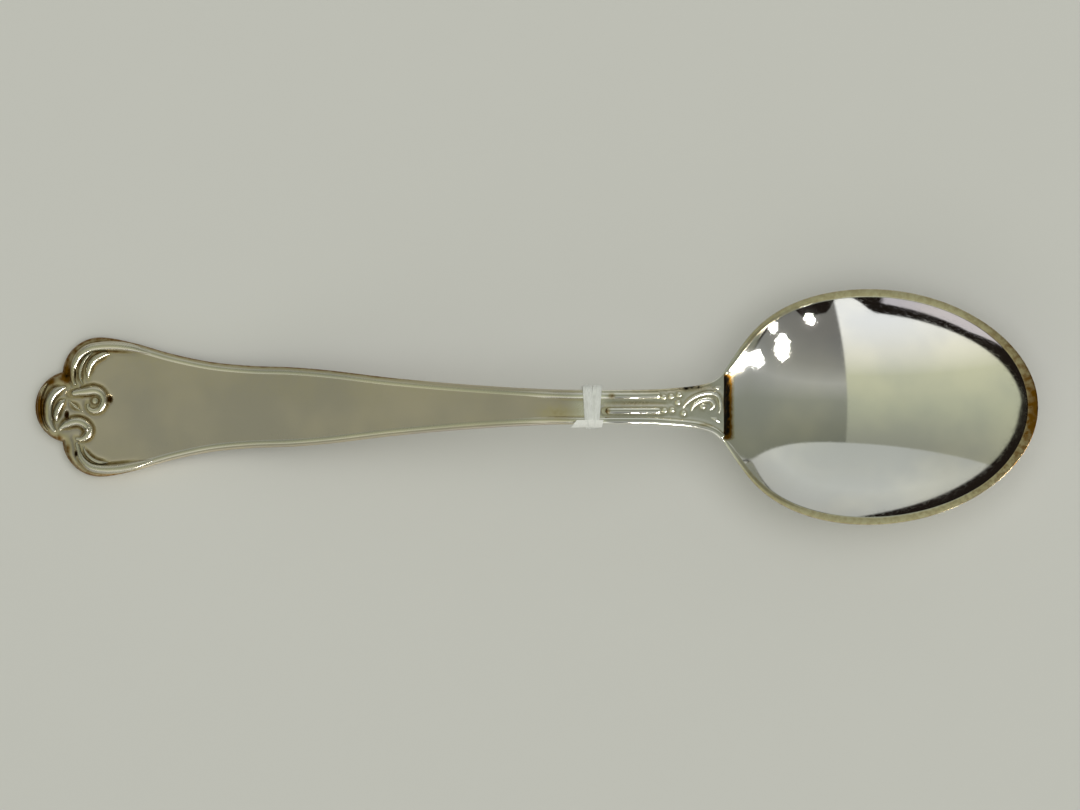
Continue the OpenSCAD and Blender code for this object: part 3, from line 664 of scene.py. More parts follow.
class Nodes:
    """Short ways to add and link nodes in one tree."""

    def __init__(self, tree):
        self.tree = tree

    def add(self, kind, inputs=None, **values):
        """A node with these values, and with these inputs set or linked."""
        node = self.tree.nodes.new(kind)
        for key, value in values.items():
            setattr(node, key, value)
        self.fill(node, inputs or {})
        return node

    def fill(self, node, inputs):
        for name, value in inputs.items():
            self.set(node.inputs[name], value)

    def link(self, source, target):
        self.tree.links.new(source, target)

    def set(self, socket, value):
        if isinstance(value, bpy.types.NodeSocket):
            self.link(value, socket)
        elif value is not None:
            socket.default_value = value

    def maths(self, operation, a, b=None, c=None, clamp=False):
        inputs = dict(enumerate((a, b, c)))
        return self.add("ShaderNodeMath", inputs, operation=operation, use_clamp=clamp).outputs[0]

    def times(self, first, *others):
        """The product of all of them."""
        for other in others:
            first = self.maths("MULTIPLY", first, other)
        return first

    def ramp(self, value, low, high, to_low=0.0, to_high=1.0):
        inputs = {"Value": value, "From Min": low, "From Max": high,
                  "To Min": to_low, "To Max": to_high}
        node = self.add("ShaderNodeMapRange", inputs, interpolation_type="SMOOTHSTEP")
        return node.outputs["Result"]

    def over(self, a, b, blur):
        """One where a is more than b, zero where it is less, with a soft edge."""
        return self.ramp(self.maths("SUBTRACT", a, b), -blur, blur)

    def tones(self, value, stops):
        """Colours along a value that runs from -1 to 1."""
        node = self.add("ShaderNodeValToRGB", {"Fac": self.maths("MULTIPLY_ADD", value, 0.5, 0.5)})
        ramp = node.color_ramp.elements
        while len(ramp) < len(stops):
            ramp.new(0.5)
        for element, (at, tone) in zip(ramp, stops):
            element.position = (at + 1) / 2
            element.color = rgba(tone)
        return node.outputs["Color"]

    def blend(self, factor, a, b, mode="MIX"):
        inputs = {"Factor": factor, "A": a, "B": b}
        return self.add("ShaderNodeMix", inputs, data_type="RGBA", blend_type=mode).outputs["Result"]

    def noise(self, vector, scale, detail, roughness):
        inputs = {"Vector": vector, "Scale": scale, "Detail": detail, "Roughness": roughness}
        return self.add("ShaderNodeTexNoise", inputs).outputs["Fac"]

    def streaks(self, vector, scale, detail, roughness):
        """Noise that is drawn out by a scale of its own in each direction."""
        node = self.add("ShaderNodeMapping", {"Vector": vector, "Scale": scale})
        return self.noise(node.outputs["Vector"], 1.0, detail, roughness)

    def dented(self, height, strength, distance):
        """Normals of a surface with this height."""
        inputs = {"Height": height, "Strength": strength, "Distance": distance}
        return self.add("ShaderNodeBump", inputs).outputs["Normal"]


def rgba(three):
    return (*three, 1.0)


def darker(three, by):
    return rgba([c * by for c in three])


def group_tree(name, inputs, outputs):
    """A new shader group; an input with no default is a place."""
    kinds = {type(None): "NodeSocketVector", float: "NodeSocketFloat", tuple: "NodeSocketColor"}
    tree = bpy.data.node_groups.new(name, "ShaderNodeTree")
    for label, default in inputs.items():
        socket = tree.interface.new_socket(
            label, in_out="INPUT", socket_type=kinds[type(default)])
        if default is not None:
            socket.default_value = default
    for label, kind in outputs.items():
        tree.interface.new_socket(label, in_out="OUTPUT", socket_type=kind)
    n = Nodes(tree)
    return tree, n, n.add("NodeGroupInput").outputs, n.add("NodeGroupOutput")


def tarnish_and_shade_group(name):
    """Brown tarnish in the hollows, painted shade in black where the darkening passes one, and a straw
    bloom in patches.
    """
    tree, n, given, made = group_tree(
        name,
        {"Position": None, "Hollow": 0.0, "Silver": (0.93, 0.9, 0.84, 1.0),
         "Straw": (0.62, 0.5, 0.24, 1.0), "Brown": (0.2, 0.1, 0.03, 1.0), "Bloom": 0.3,
         "Depth": 1.0, "Roughness": 0.1},
        {"Colour": "NodeSocketColor", "Roughness": "NodeSocketFloat"},
    )
    cool, shade_black = (0.82, 0.84, 0.9, 1), (0.008, 0.006, 0.004, 1)
    cloud = n.ramp(n.noise(given["Position"], 130, 4, 0.55), 0.45, 0.75)
    speck = n.ramp(n.noise(given["Position"], 1500, 3, 0.6), 0.35, 0.7)
    patch = n.ramp(n.noise(given["Position"], 75, 3, 0.5), 0.35, 0.65)
    deep = n.times(given["Hollow"], n.maths("MULTIPLY_ADD", speck, 0.3, 0.8))
    amount = n.maths("MULTIPLY", deep, given["Depth"], clamp=True)
    bloom = n.times(cloud, given["Bloom"])
    yellowed = n.maths("ADD", bloom, n.ramp(amount, 0.05, 0.45, 0, 0.8), clamp=True)
    tone = n.blend(patch, given["Silver"], cool, "MULTIPLY")
    # Past one the darkening turns black: painted shade in the pits and the mouth's step
    for share_of_it, stain in ((yellowed, given["Straw"]),
                               (n.ramp(amount, 0.3, 1.0), given["Brown"]),
                               (n.ramp(deep, 1.0, 1.6), shade_black)):
        tone = n.blend(share_of_it, tone, stain)
    rough = n.maths("MULTIPLY_ADD", amount, 0.25, given["Roughness"])
    n.fill(made, {"Colour": tone, "Roughness": n.maths("MULTIPLY_ADD", cloud, 0.03, rough)})
    return tree


def scratches_group(name):
    """Fine hairlines of wear that run in two loose directions."""
    tree, n, given, made = group_tree(
        name, {"Position": None, "Strength": 0.5},
        {"Height": "NodeSocketFloat", "Roughness": "NodeSocketFloat"})
    sets = []
    for turn, stretch in ((0.35, (900, 26000, 900)), (-0.9, (700, 19000, 700))):
        spin = n.add("ShaderNodeVectorRotate", {"Vector": given["Position"], "Angle": turn},
                     rotation_type="Z_AXIS")
        sets.append(n.ramp(n.streaks(spin.outputs["Vector"], stretch, 1, 0.5), 0.63, 0.72))
    strong = n.times(n.maths("MAXIMUM", *sets), given["Strength"])
    n.fill(made, {"Height": n.times(strong, -1.0), "Roughness": n.times(strong, 0.12)})
    return tree


def effect(n, name, make, inputs):
    """A shared effect's node group, made on first use."""
    tree = bpy.data.node_groups.get(name) or make(name)
    return n.add("ShaderNodeGroup", inputs, node_tree=tree).outputs


def new_material(name):
    material = bpy.data.materials.new(name)
    material.use_nodes = True
    material.node_tree.nodes.clear()
    n = Nodes(material.node_tree)
    shader = n.add("ShaderNodeBsdfPrincipled")
    n.add("ShaderNodeOutputMaterial", {"Surface": shader.outputs["BSDF"]})
    return material, n, shader, n.add("ShaderNodeTexCoord").outputs["Object"]


# Finishes of the silver by material: the user's colour and roughness, bloom, depth of the tarnish,
# strength of the scratches, bump, brushed grain, and another colour and roughness on the stem
SILVERS = {
    "bowl_polish": ("silver", "bowl_roughness", 0.05, 1.0, 0.25, 0.05, 0, None),
    "handle_satin": ("satin", "handle_roughness", 0.14, 0.95, 0.4, 0.2, 0.08,
                     ("stem", "stem_roughness")),
    "stem_polish": ("stem", "stem_roughness", 0.2, 0.42, 0.35, 0.12, 0, None),
    "relief_polish": ("relief", "relief_roughness", 0.16, 1.0, 0.3, 0.08, 0,
                      ("stem", "stem_relief_roughness")),
    "worn_relief_polish": ("stem", "worn_relief_roughness", 0.16, 1.0, 0.3, 0.08, 0, None),
}
# Where the crown's satin and the stem's polish meet, under the tie, in metres
SATIN_END, POLISH_START = 0.003, 0.007
# Depth of the finest texture, in metres
TEXTURE_DEPTH = 0.00002


def silver(name):
    """Silver with tarnish in its hollows, fine scratches and, on satin, a brushed grain."""
    if name in bpy.data.materials:
        return bpy.data.materials[name]
    finish = bpy.context.scene.teaspoon_finish

    def look(tone, roughness):
        return rgba(getattr(finish, tone)), getattr(finish, roughness)

    *looks, bloom, depth, scratch, bump, grain, on_stem = SILVERS[name]
    tone, roughness = look(*looks)
    material, n, shader, place = new_material(name)
    if on_stem:
        stem_tone, stem_roughness = look(*on_stem)
        split = n.add("ShaderNodeSeparateXYZ", {0: place})
        along = n.ramp(split.outputs["X"], SATIN_END, POLISH_START)
        tone = n.blend(along, tone, stem_tone)
        roughness = n.ramp(along, 0, 1, roughness, stem_roughness)
    tarnish = effect(n, "silver_tarnish", tarnish_and_shade_group, {
        "Position": place,
        "Hollow": n.add("ShaderNodeAttribute", attribute_name="hollow").outputs["Fac"],
        "Silver": tone, "Straw": rgba(finish.straw), "Brown": rgba(finish.tarnish),
        "Bloom": bloom, "Depth": depth, "Roughness": roughness})
    lines = effect(n, "fine_scratches", scratches_group, {"Position": place, "Strength": scratch})
    rough = n.maths("ADD", tarnish["Roughness"], lines["Roughness"])
    height = lines["Height"]
    if grain:
        brushed = n.streaks(place, (1500, 9000, 1500), 3, 0.6)
        rough = n.maths("MULTIPLY_ADD", brushed, grain, rough)
        height = n.maths("MULTIPLY_ADD", brushed, 0.7, height)
    n.fill(shader, {"Metallic": 1.0, "Base Color": tarnish["Colour"], "Roughness": rough,
                    "Normal": n.dented(height, bump, TEXTURE_DEPTH)})
    return material


def cotton_material():
    """Soft white thread: fine twisted fibres with a little sheen."""
    if "cotton_thread" in bpy.data.materials:
        return bpy.data.materials["cotton_thread"]
    pale = bpy.context.scene.teaspoon_finish.cotton
    material, n, shader, place = new_material("cotton_thread")
    fibre = n.streaks(place, (14000, 1800, 1800), 4, 0.65)
    shade = n.ramp(n.maths("MULTIPLY_ADD", n.noise(place, 900, 2, 0.5), 0.5, fibre), 0.4, 1.1)
    n.fill(shader, {
        "Base Color": n.blend(shade, darker(pale, 0.72), rgba(pale)),
        "Roughness": n.ramp(fibre, 0.2, 0.8, 0.75, 0.95),
        "Sheen Weight": 0.4, "Sheen Roughness": 0.5,
        "Normal": n.dented(fibre, 0.6, 2 * TEXTURE_DEPTH)})
    return material


def paper_material():
    """Thin white label paper with a faint tooth and a few short fibres."""
    pale = bpy.context.scene.teaspoon_finish.paper
    material, n, shader, place = new_material("label_paper")
    tooth = n.noise(place, 6000, 4, 0.6)
    fibres = n.streaks(place, (1500, 5200, 3000), 3, 0.6)
    shade = n.ramp(n.maths("MULTIPLY_ADD", fibres, 0.6, tooth), 0.4, 1.2)
    n.fill(shader, {
        "Base Color": n.blend(shade, darker(pale, 0.85), rgba(pale)),
        "Roughness": n.ramp(tooth, 0.2, 0.8, 0.45, 0.65),
        "Normal": n.dented(tooth, 0.3, TEXTURE_DEPTH)})
    return material


# Operators


class TEASPOON_OT_handle(bpy.types.Operator):
    """Make the handle blade with its flat lobed end and its rounded edges"""

    bl_idname = "teaspoon.handle"
    bl_label = "Handle"

    # Vertices along the handle, across its top and across its underside
    ALONG, TOP, UNDER = 430, 148, 44

    def execute(self, context):
        s = spoon_sizes()
        piece = blade_piece(s, "handle_blade", self.stations(s), self.TOP, self.UNDER)
        settle(piece, "spoon", silver("handle_satin"), ["handle"])
        return {"FINISHED"}

    def stations(self, s):
        """Places along the handle, as dense along the lobes' outline as across them."""
        crest = np.linspace(0, math.pi / 2, 4000)
        lobe = np.linspace(math.acos(NOTCH_ON_LOBE), math.pi / 2, 4000)
        x = np.concatenate([
            s.crest_radius * (1 - np.cos(crest)) * NOTCH_ON_CREST,
            s.lobe_x - s.lobe_radius * np.cos(lobe),
            np.linspace(s.lobe_x, s.handle_length, 8000)[1:],
        ])
        density = np.where(x < s.end_length + 2, 1.0, 0.28)
        step = np.hypot(np.diff(x), np.diff(plan_half(s, x))) * density[1:]
        run = np.concatenate([[0], np.cumsum(step)])
        return np.interp(np.linspace(0, run[-1], self.ALONG), run, x)


def blade_piece(s, name, stations, top_count, under_count):
    """A closed blade: flat chased top, worn edges, upright sides and a crowned underside."""
    ground = Ground(s)
    side_count, lower_rounding = 4, 0.3
    rings = len(stations) + 1
    segments = top_count + under_count + 2 * side_count
    outline = np.concatenate([
        np.linspace(0, 1, 400) ** 2 * 0.5, np.linspace(0.5, s.bowl_start, 6000)])
    edge_tree = plan_tree(np.stack([outline, plan_half(s, outline)], axis=1))

    # Across the section: the top from one edge to the other, a side, the underside, a side
    t = np.linspace(-1, 1, top_count)
    top_v = 0.45 * t + 0.55 * np.sin(math.pi / 2 * t)
    under_v = np.sin(math.pi / 2 * np.linspace(1, -1, under_count))
    drop = (np.arange(side_count) + 1) / (side_count + 1)
    v_of = np.concatenate([top_v, np.ones(side_count), under_v, -np.ones(side_count)])
    part_of = np.repeat(range(4), [top_count, side_count, under_count, side_count])
    fall = np.concatenate([np.zeros(top_count), drop, np.zeros(under_count), 1 - drop])

    def place(ring, segment):
        pole = (ring == 0) | (ring == rings)
        x = stations[np.clip(ring - 1, 0, len(stations) - 1)]
        half = plan_half(s, x)
        v, part = v_of[segment], part_of[segment]
        on_top, under = part == 0, part == 2
        y = half * v
        top, edge = top_height(s, x), edge_at(s, x)
        crown = thickness_at(s, x) - edge
        away = np.array([edge_tree.find((a, abs(b), 0))[2] for a, b in zip(x, y)])
        away = np.minimum(away, np.maximum(half - np.abs(y), 0))
        # One on the flat lobed end, and zero a little past it
        lobed = fade(x, s.end_length + 2.2, s.end_length - 1.8)
        rounding = mix(s.edge_rounding, s.lobe_rounding, lobed)
        chased = np.where(on_top, ground.depth(x, y), 0) * clamp01(away / 0.5)
        z_top = top - rounded(rounding, away) - chased
        z_under = top - edge - crown * (1 - v * v) + rounded(lower_rounding, away)
        z_side = mix(top - rounding, top - edge + lower_rounding, fall[segment])
        z = np.where(on_top, z_top, np.where(under, z_under, z_side))
        y = np.where(pole, 0, y)
        z = np.where(pole, top - edge / 2, z)
        # Brown along the upper edge and straw along the lower one, wider round the lobes
        worn = fade(x, 52, 42)
        line = mix(np.where(y > 0, 0.9, 0.36) * mix(0.4, 1, worn), 0.95, lobed)
        edge_dark = line * bell(away / mix(0.26, 0.62, lobed))
        # The field is a little darker towards the upper edge, plus the stains
        field = 0.10 + 0.11 * v + stain_at(x, y)
        # Tarnish beside the relief; in the pits the value passes one and is painted black as shade
        dark = np.maximum(np.maximum(ground.hollow(x, y) * 0.8, edge_dark), field)
        side_dark = mix(0.5, 0.12, fade(x, 55, 83))
        dark = np.where(on_top, dark, np.where(under, 0.1, side_dark))
        return to_row(s, x, y, z), dark

    return ball_piece(name, segments, rings, place)


class TEASPOON_OT_stem(bpy.types.Operator):
    """Make the stem, which narrows behind the tie and flares into the shoulders"""

    bl_idname = "teaspoon.stem"
    bl_label = "Stem"

    # Vertices along the stem, across its top and across its underside
    ALONG, TOP, UNDER = 190, 96, 36

    def execute(self, context):
        s = spoon_sizes()
        stations = np.linspace(s.handle_length, s.bowl_start, self.ALONG)
        piece = blade_piece(s, "stem_neck", stations, self.TOP, self.UNDER)
        settle(piece, "spoon", silver("stem_polish"), ["stem"])
        return {"FINISHED"}


class TEASPOON_OT_bowl(bpy.types.Operator):
    """Make the bowl: deep inside, flat rim, rounded lip and a full back"""

    bl_idname = "teaspoon.bowl"
    bl_label = "Bowl"

    # Rings of the inside, the inner lip, the flat rim, the outer lip and the outside
    RINGS = (120, 4, 8, 8, 90)
    SEGMENTS = 264
    # Widths of the two lips' rounding, and how far the rim is crowned, in millimetres
    LIP_IN, LIP_OUT, RIM_CROWN = 0.10, 0.13, 0.03

    def execute(self, context):
        piece = self.bowl_piece(spoon_sizes())
        settle(piece, "spoon", silver("bowl_polish"), ["bowl"])
        return {"FINISHED"}

    def bowl_piece(self, s):
        inner_half = s.bowl_half - s.rim_width
        inner_front = s.front_length - TIP_RIM_SHARE * s.rim_width
        outer_end, inner_end = OUTER_END_SHARE * s.rear_length, INNER_END_SHARE * s.rear_length
        mouth_half = s.shoulder_half - MOUTH_RIM_SHARE * s.rim_width
        flare_start = FLARE_START_SHARE * s.rear_length

        def egg(t, k):
            return 1 - k * t * t - (1 - k) * t**4

        def egg_square(d, front, rear, k):
            return np.where(d >= 0, egg(d / front, k), egg(-d / rear, k * (rear / front) ** 2))

        def flared(d, front, rear, k, mouth):
            flare = clamp01((-d - flare_start) / (s.rear_length - flare_start)) ** 3
            end = egg_square(np.array(-s.rear_length), front, rear, k)
            return np.maximum(0, egg_square(d, front, rear, k) + (mouth - end) * flare)

        def rim_at(d):
            return s.rim_height + np.where(d >= 0, s.tip_rise_height * (d / s.front_length) ** 3,
                                           s.rear_rise_height * (-d / s.rear_length) ** 3)

        def edge_height(d):
            rear = mix(s.rim_edge_height, s.shoulder_edge_height, clamp01(-d / s.rear_length) ** 6)
            return np.where(d >= 0, s.rim_edge_height, rear)

        def sag(fill, depth, r):
            return depth * fill * (1 + r * (1 - fill))

        def fill_for(q, r):
            """The fill whose sag is this share of the depth."""
            return (1 + r - math.sqrt((1 + r) ** 2 - 4 * r * q)) / (2 * r)

        outer_depth = s.rim_height - s.rim_edge_height
        inner_mouth = fill_for(s.mouth_step_height / s.bowl_depth, INNER_ROUNDNESS)
        outer_mouth = fill_for((s.shoulder_thickness - s.shoulder_edge_height) / outer_depth,
                               OUTER_ROUNDNESS)

        def inner_width(d):
            fill = flared(d, inner_front, inner_end, 1, (mouth_half / inner_half) ** 2)
            return inner_half * np.sqrt(fill)

        def outer_width(d):
            fill = flared(d, s.front_length, outer_end, OUTER_FULLNESS,
                          (s.shoulder_half / s.bowl_half) ** 2)
            return s.bowl_half * np.sqrt(fill)

        def inner_z(d, y):
            v = clamp01(np.abs(y) / np.maximum(inner_width(d), 1e-6))
            fill = flared(d, inner_front, inner_end, 1, inner_mouth) * (1 - v * v)
            z = rim_at(d) - sag(fill, s.bowl_depth, INNER_ROUNDNESS)
            step = clamp01(1 - (d + s.rear_length) / s.mouth_fillet) ** 3
            return mix(z, rim_at(d) - 0.04, step)

        def outer_z(d, y):
            v = clamp01(np.abs(y) / np.maximum(outer_width(d), 1e-6))
            fill = flared(d, s.front_length, outer_end, OUTER_FULLNESS, outer_mouth) * (1 - v * v)
            return rim_at(d) - edge_height(d) - sag(fill, outer_depth, OUTER_ROUNDNESS)

        def reach(angle, width, front):
            """Distance from the widest place's middle to an outline, in each direction."""
            ca, sa = np.cos(angle), np.abs(np.sin(angle))
            low, high = np.zeros_like(angle), np.full_like(angle, 40.0)
            for _ in range(50):
                r = (low + high) / 2
                d = r * ca
                inside = (d > -s.rear_length) & (d < front) & (r * sa < width(d))
                low, high = np.where(inside, r, low), np.where(inside, high, r)
            return low

        angles = np.arange(self.SEGMENTS) / self.SEGMENTS * 2 * math.pi
        inner_r = reach(angles, inner_width, inner_front)
        outer_r = reach(angles, outer_width, s.front_length)
        ends = np.concatenate([[0], np.cumsum(self.RINGS)])

        def place(ring, segment):
            angle = angles[segment]
            ri, ro = inner_r[segment], outer_r[segment]
            gap = np.maximum(ro - ri, 0)
            a_in = np.minimum(self.LIP_IN, gap * 0.3)
            a_out = np.minimum(self.LIP_OUT, gap * 0.3 + 0.02)
            part = np.searchsorted(ends[1:], ring, "left")
            t = (ring - ends[part]) / np.array(self.RINGS)[part]
            bend = math.pi / 2 * t
            over = np.minimum(2 * t, 1) * math.pi / 2
            inside_t = 0.55 * t + 0.45 * np.sin(bend)
            outside_t = 1 - (0.5 * t + 0.5 * (1 - np.cos(bend)))
            r = np.choose(part, [
                (ri - a_in) * inside_t, ri - a_in * (1 - t), mix(ri, ro - a_out, t),
                ro - a_out + a_out * np.sin(over), ro * outside_t])
            d, y = np.maximum(r * np.cos(angle), -s.rear_length), r * np.sin(angle)
            rim = rim_at(d)
            flat = rim - self.RIM_CROWN
            z_in = inner_z(d, y)
            z_lip = mix(flat, z_in, clamp01((ri - r) / np.maximum(a_in, 1e-6)))
            crowned = flat + self.RIM_CROWN * np.sin(math.pi * clamp01(t))
            z_edge = mix(flat - a_out * (1 - np.cos(over)), rim - edge_height(d),
                         clamp01(2 * t - 1))
            z = np.choose(part, [z_in, z_lip, crowned, z_edge, outer_z(d, y)])
            x = s.widest_x + d
            # Tarnish gathers in the mouth's step, along the rim and at the tip; the step also gets
            # painted shade, black at its deepest
            behind, ahead = d + s.rear_length, s.front_length - d
            across = fade(np.abs(y), s.shoulder_half - 0.1, s.shoulder_half - 0.8)
            # Painted shade: the step's darkening reaches 1.75, which the material turns black
            mouth = 1.75 * fade(behind, 1.6, 0.35) * across
            rimmed = np.choose(part, [0, 0.4, 0.47, 0.55, 0]) * mix(0.2, 1, fade(behind, 0, 4))
            aged = 0.32 * bell(ahead / 7) * (part >= 1)
            tip = bell(ahead / 1.5) * bell((y + 0.9) / 4.2) * np.where(part >= 1, 0.36, 0.5)
            dark = np.where(part <= 1, mouth, mouth * 0.5) + rimmed + aged + tip + stain_at(x, y)
            return to_row(s, x, y, z), np.where(part == 4, 0.05, dark)

        return ball_piece("bowl_shell", self.SEGMENTS, ends[-1], place)


STRAND_SEGMENTS = 20
# How deep a strand's flanks sit in the ground, and its bottom below them, in millimetres
SEAT, UNDERSEAT = 0.05, 0.06
# From ring to ring of a long, a common and a leaf's strand, in millimetres
LONG_STEP, STEP, LEAF_STEP = 0.16, 0.06, 0.07


def strand_piece(s, ground, name, path, half, height, swell, step):
    """A raised strand with a half-round section, seated in the chased ground."""
    path = even_path(path, step)
    count = len(path)
    grown = smooth_at(swell, np.linspace(0, 1, count))
    run = run_along(path)
    near_end = np.minimum(run, run[-1] - run)
    round_end = np.sqrt(1 - np.maximum(1 - near_end / (half * grown), 0) ** 2)
    ahead = directions(path)
    side = np.stack([-ahead[:, 1], ahead[:, 0]], axis=1)
    rings = count - 1
    upper = STRAND_SEGMENTS * 3 // 4
    border = "border" in name
    rise_share = thread_rise(path[:, 0]) if border else np.ones(count)
    softness = thread_softness(path[:, 0]) if border else np.zeros(count)

    def place(ring, segment):
        pole = (ring == 0) | (ring == rings)
        width = half * grown[ring] * round_end[ring] * 1.05
        tall = height * grown[ring] * round_end[ring] * rise_share[ring]
        over = segment <= upper
        bend = math.pi * np.where(over, segment / upper, 0)
        back = (segment - upper) / (STRAND_SEGMENTS - upper)
        u = np.where(pole, 0, np.where(over, np.cos(bend), -1 + 2 * back))
        crisp, soft = np.sin(bend) ** 0.9, np.sin(bend) ** 3.5
        rise = np.where(over, mix(crisp, soft, softness[ring]), 0)
        x, y = (path[ring] + side[ring] * (width * u)[:, None]).T
        seated = tall + SEAT + ground.depth(*path[ring].T)
        low = top_height(s, x) - ground.depth(x, y) - SEAT - np.where(over, 0, UNDERSEAT)
        z = low + np.where(pole, 0, rise * seated)
        flank = np.clip(1.1 - rise * 1.9, 0, 1) * mix(0.75, 0.12, softness[ring])
        dark = np.where(over, flank * mix(1, 0.5, past_end(s, x)), 0.8) + stain_at(x, y)
        return to_row(s, x, y, z), dark

    return ball_piece(name, STRAND_SEGMENTS, rings, place)


class TEASPOON_OT_relief(bpy.types.Operator):
    """Make the raised threads, scrolls, reeds and leaves on the handle and the stem"""

    bl_idname = "teaspoon.relief"
    bl_label = "Relief"

    def execute(self, context):
        s = spoon_sizes()
        ground = Ground(s)
        for name, route in relief_routes(s).items():
            step = LONG_STEP if "border" in name else STEP
            piece = strand_piece(s, ground, name + "_relief", *route, step)
            finish = "worn_relief_polish" if name in SHOULDER_RELIEF else "relief_polish"
            settle(piece, "spoon", silver(finish), [name])
        leaves = [
            strand_piece(s, ground, "leaf", smooth_path(on_shoulder(s, shares), LEAF_STEPS),
                         s.shoulder_scroll_width / 2, s.shoulder_height, LEAF_SHAPE, LEAF_STEP)
            for shares in SHOULDER_CORNERS
        ]
        settle(join("shoulder_corner_leaves", leaves), "spoon",
               silver("relief_polish"), ["shoulder_corners"])
        return {"FINISHED"}


def bead_piece(s, ground, x, y, radius, height):
    """A low bead: a ball flattened in edit mode, cut off below and set on the ground."""
    deselect_all()
    z = float(top_height(s, np.array(x))) - float(ground.depth([x], [y])[0])
    centre = to_row(s, x, y, z)
    bpy.ops.mesh.primitive_uv_sphere_add(
        segments=28, ring_count=18, radius=radius * MILLIMETRE, location=centre)
    piece = bpy.context.object
    bpy.ops.object.transform_apply(location=True, rotation=False, scale=False)
    bpy.ops.object.mode_set(mode="EDIT")
    bpy.ops.mesh.select_all(action="SELECT")
    bpy.ops.transform.resize(value=(1, 1, height / radius), center_override=tuple(centre))
    bpy.ops.mesh.select_all(action="SELECT")
    cut = (centre[0], centre[1], centre[2] - 0.08 * MILLIMETRE)
    bpy.ops.mesh.bisect(plane_co=cut, plane_no=(0, 0, 1), use_fill=True, clear_inner=True)
    bpy.ops.object.mode_set(mode="OBJECT")
    co = coordinates(piece.data)
    low = (co[:, 2] - centre[2]) / (height * MILLIMETRE)
    set_hollow(piece, np.clip(1 - low * 2.2, 0, 1) * 0.8)
    close_up(piece)
    return piece


class TEASPOON_OT_beads(bpy.types.Operator):
    """Make the shoulder's beads and the centre scroll's eye"""

    bl_idname = "teaspoon.beads"
    bl_label = "Beads and eye"

    def execute(self, context):
        s = spoon_sizes()
        ground = Ground(s)
        beads = [bead_piece(s, ground, x, y, s.bead_radius, s.shoulder_height)
                 for x, y in on_shoulder(s, SHOULDER_BEADS)]
        x, y = on_end(s, [CENTRE_EYE])[0]
        eye = bead_piece(s, ground, x, y, s.eye_radius, s.scroll_height * 0.5)
        for name, parts, node in (("shoulder_bead_row", beads, "shoulder_beads"),
                                  ("centre_scroll_eye", [eye], "centre_eye")):
            settle(join(name, parts), "spoon", silver("relief_polish"), [node])
        return {"FINISHED"}


def tie_frame(s):
    """The rounded rectangle that the strand follows round the stem."""
    tie = SimpleNamespace(**sizes("teaspoon_tie"))
    tie.x = s.handle_length
    tie.pitch = tie.strand_width + tie.turn_gap
    tie.half = tie.strand_thickness / 2
    tie.side = s.stem_half + tie.clearance + tie.half
    tie.top = s.crown_height + s.thread_height + tie.clearance + tie.half
    tie.bottom = s.crown_height - s.stem_thickness - tie.slack - tie.half
    tie.middle = (tie.top + tie.bottom) / 2
    tie.rise = (tie.top - tie.bottom) / 2
    tie.across = tie.side - tie.bend_radius
    tie.upright = tie.rise - tie.bend_radius
    return tie


def loop_path(tie, turns, count):
    """Points, outward directions, turns so far and length so far of a strand wound round the
    stem. It starts and ends below the stem, in the knot."""
    bend = np.radians(np.linspace(0, 90, 13))
    ring = [np.array([[0, tie.bottom, 0, -1]])]
    for k, (a, b) in enumerate([(1, -1), (1, 1), (-1, 1), (-1, -1)]):
        angle = bend + math.radians(90 * k - 90)
        ny, nz = np.cos(angle), np.sin(angle)
        ring.append(np.stack([
            a * tie.across + tie.bend_radius * ny,
            tie.middle + b * tie.upright + tie.bend_radius * nz, ny, nz], axis=1))
    loop = np.vstack(ring * turns + ring[:1])
    run = run_along(loop[:, :2])
    at = np.linspace(0, run[-1], count)
    y, z, ny, nz = (np.interp(at, run, column) for column in loop.T)
    size = np.hypot(ny, nz)
    return y, z, ny / size, nz / size, at / run[-1] * turns, at


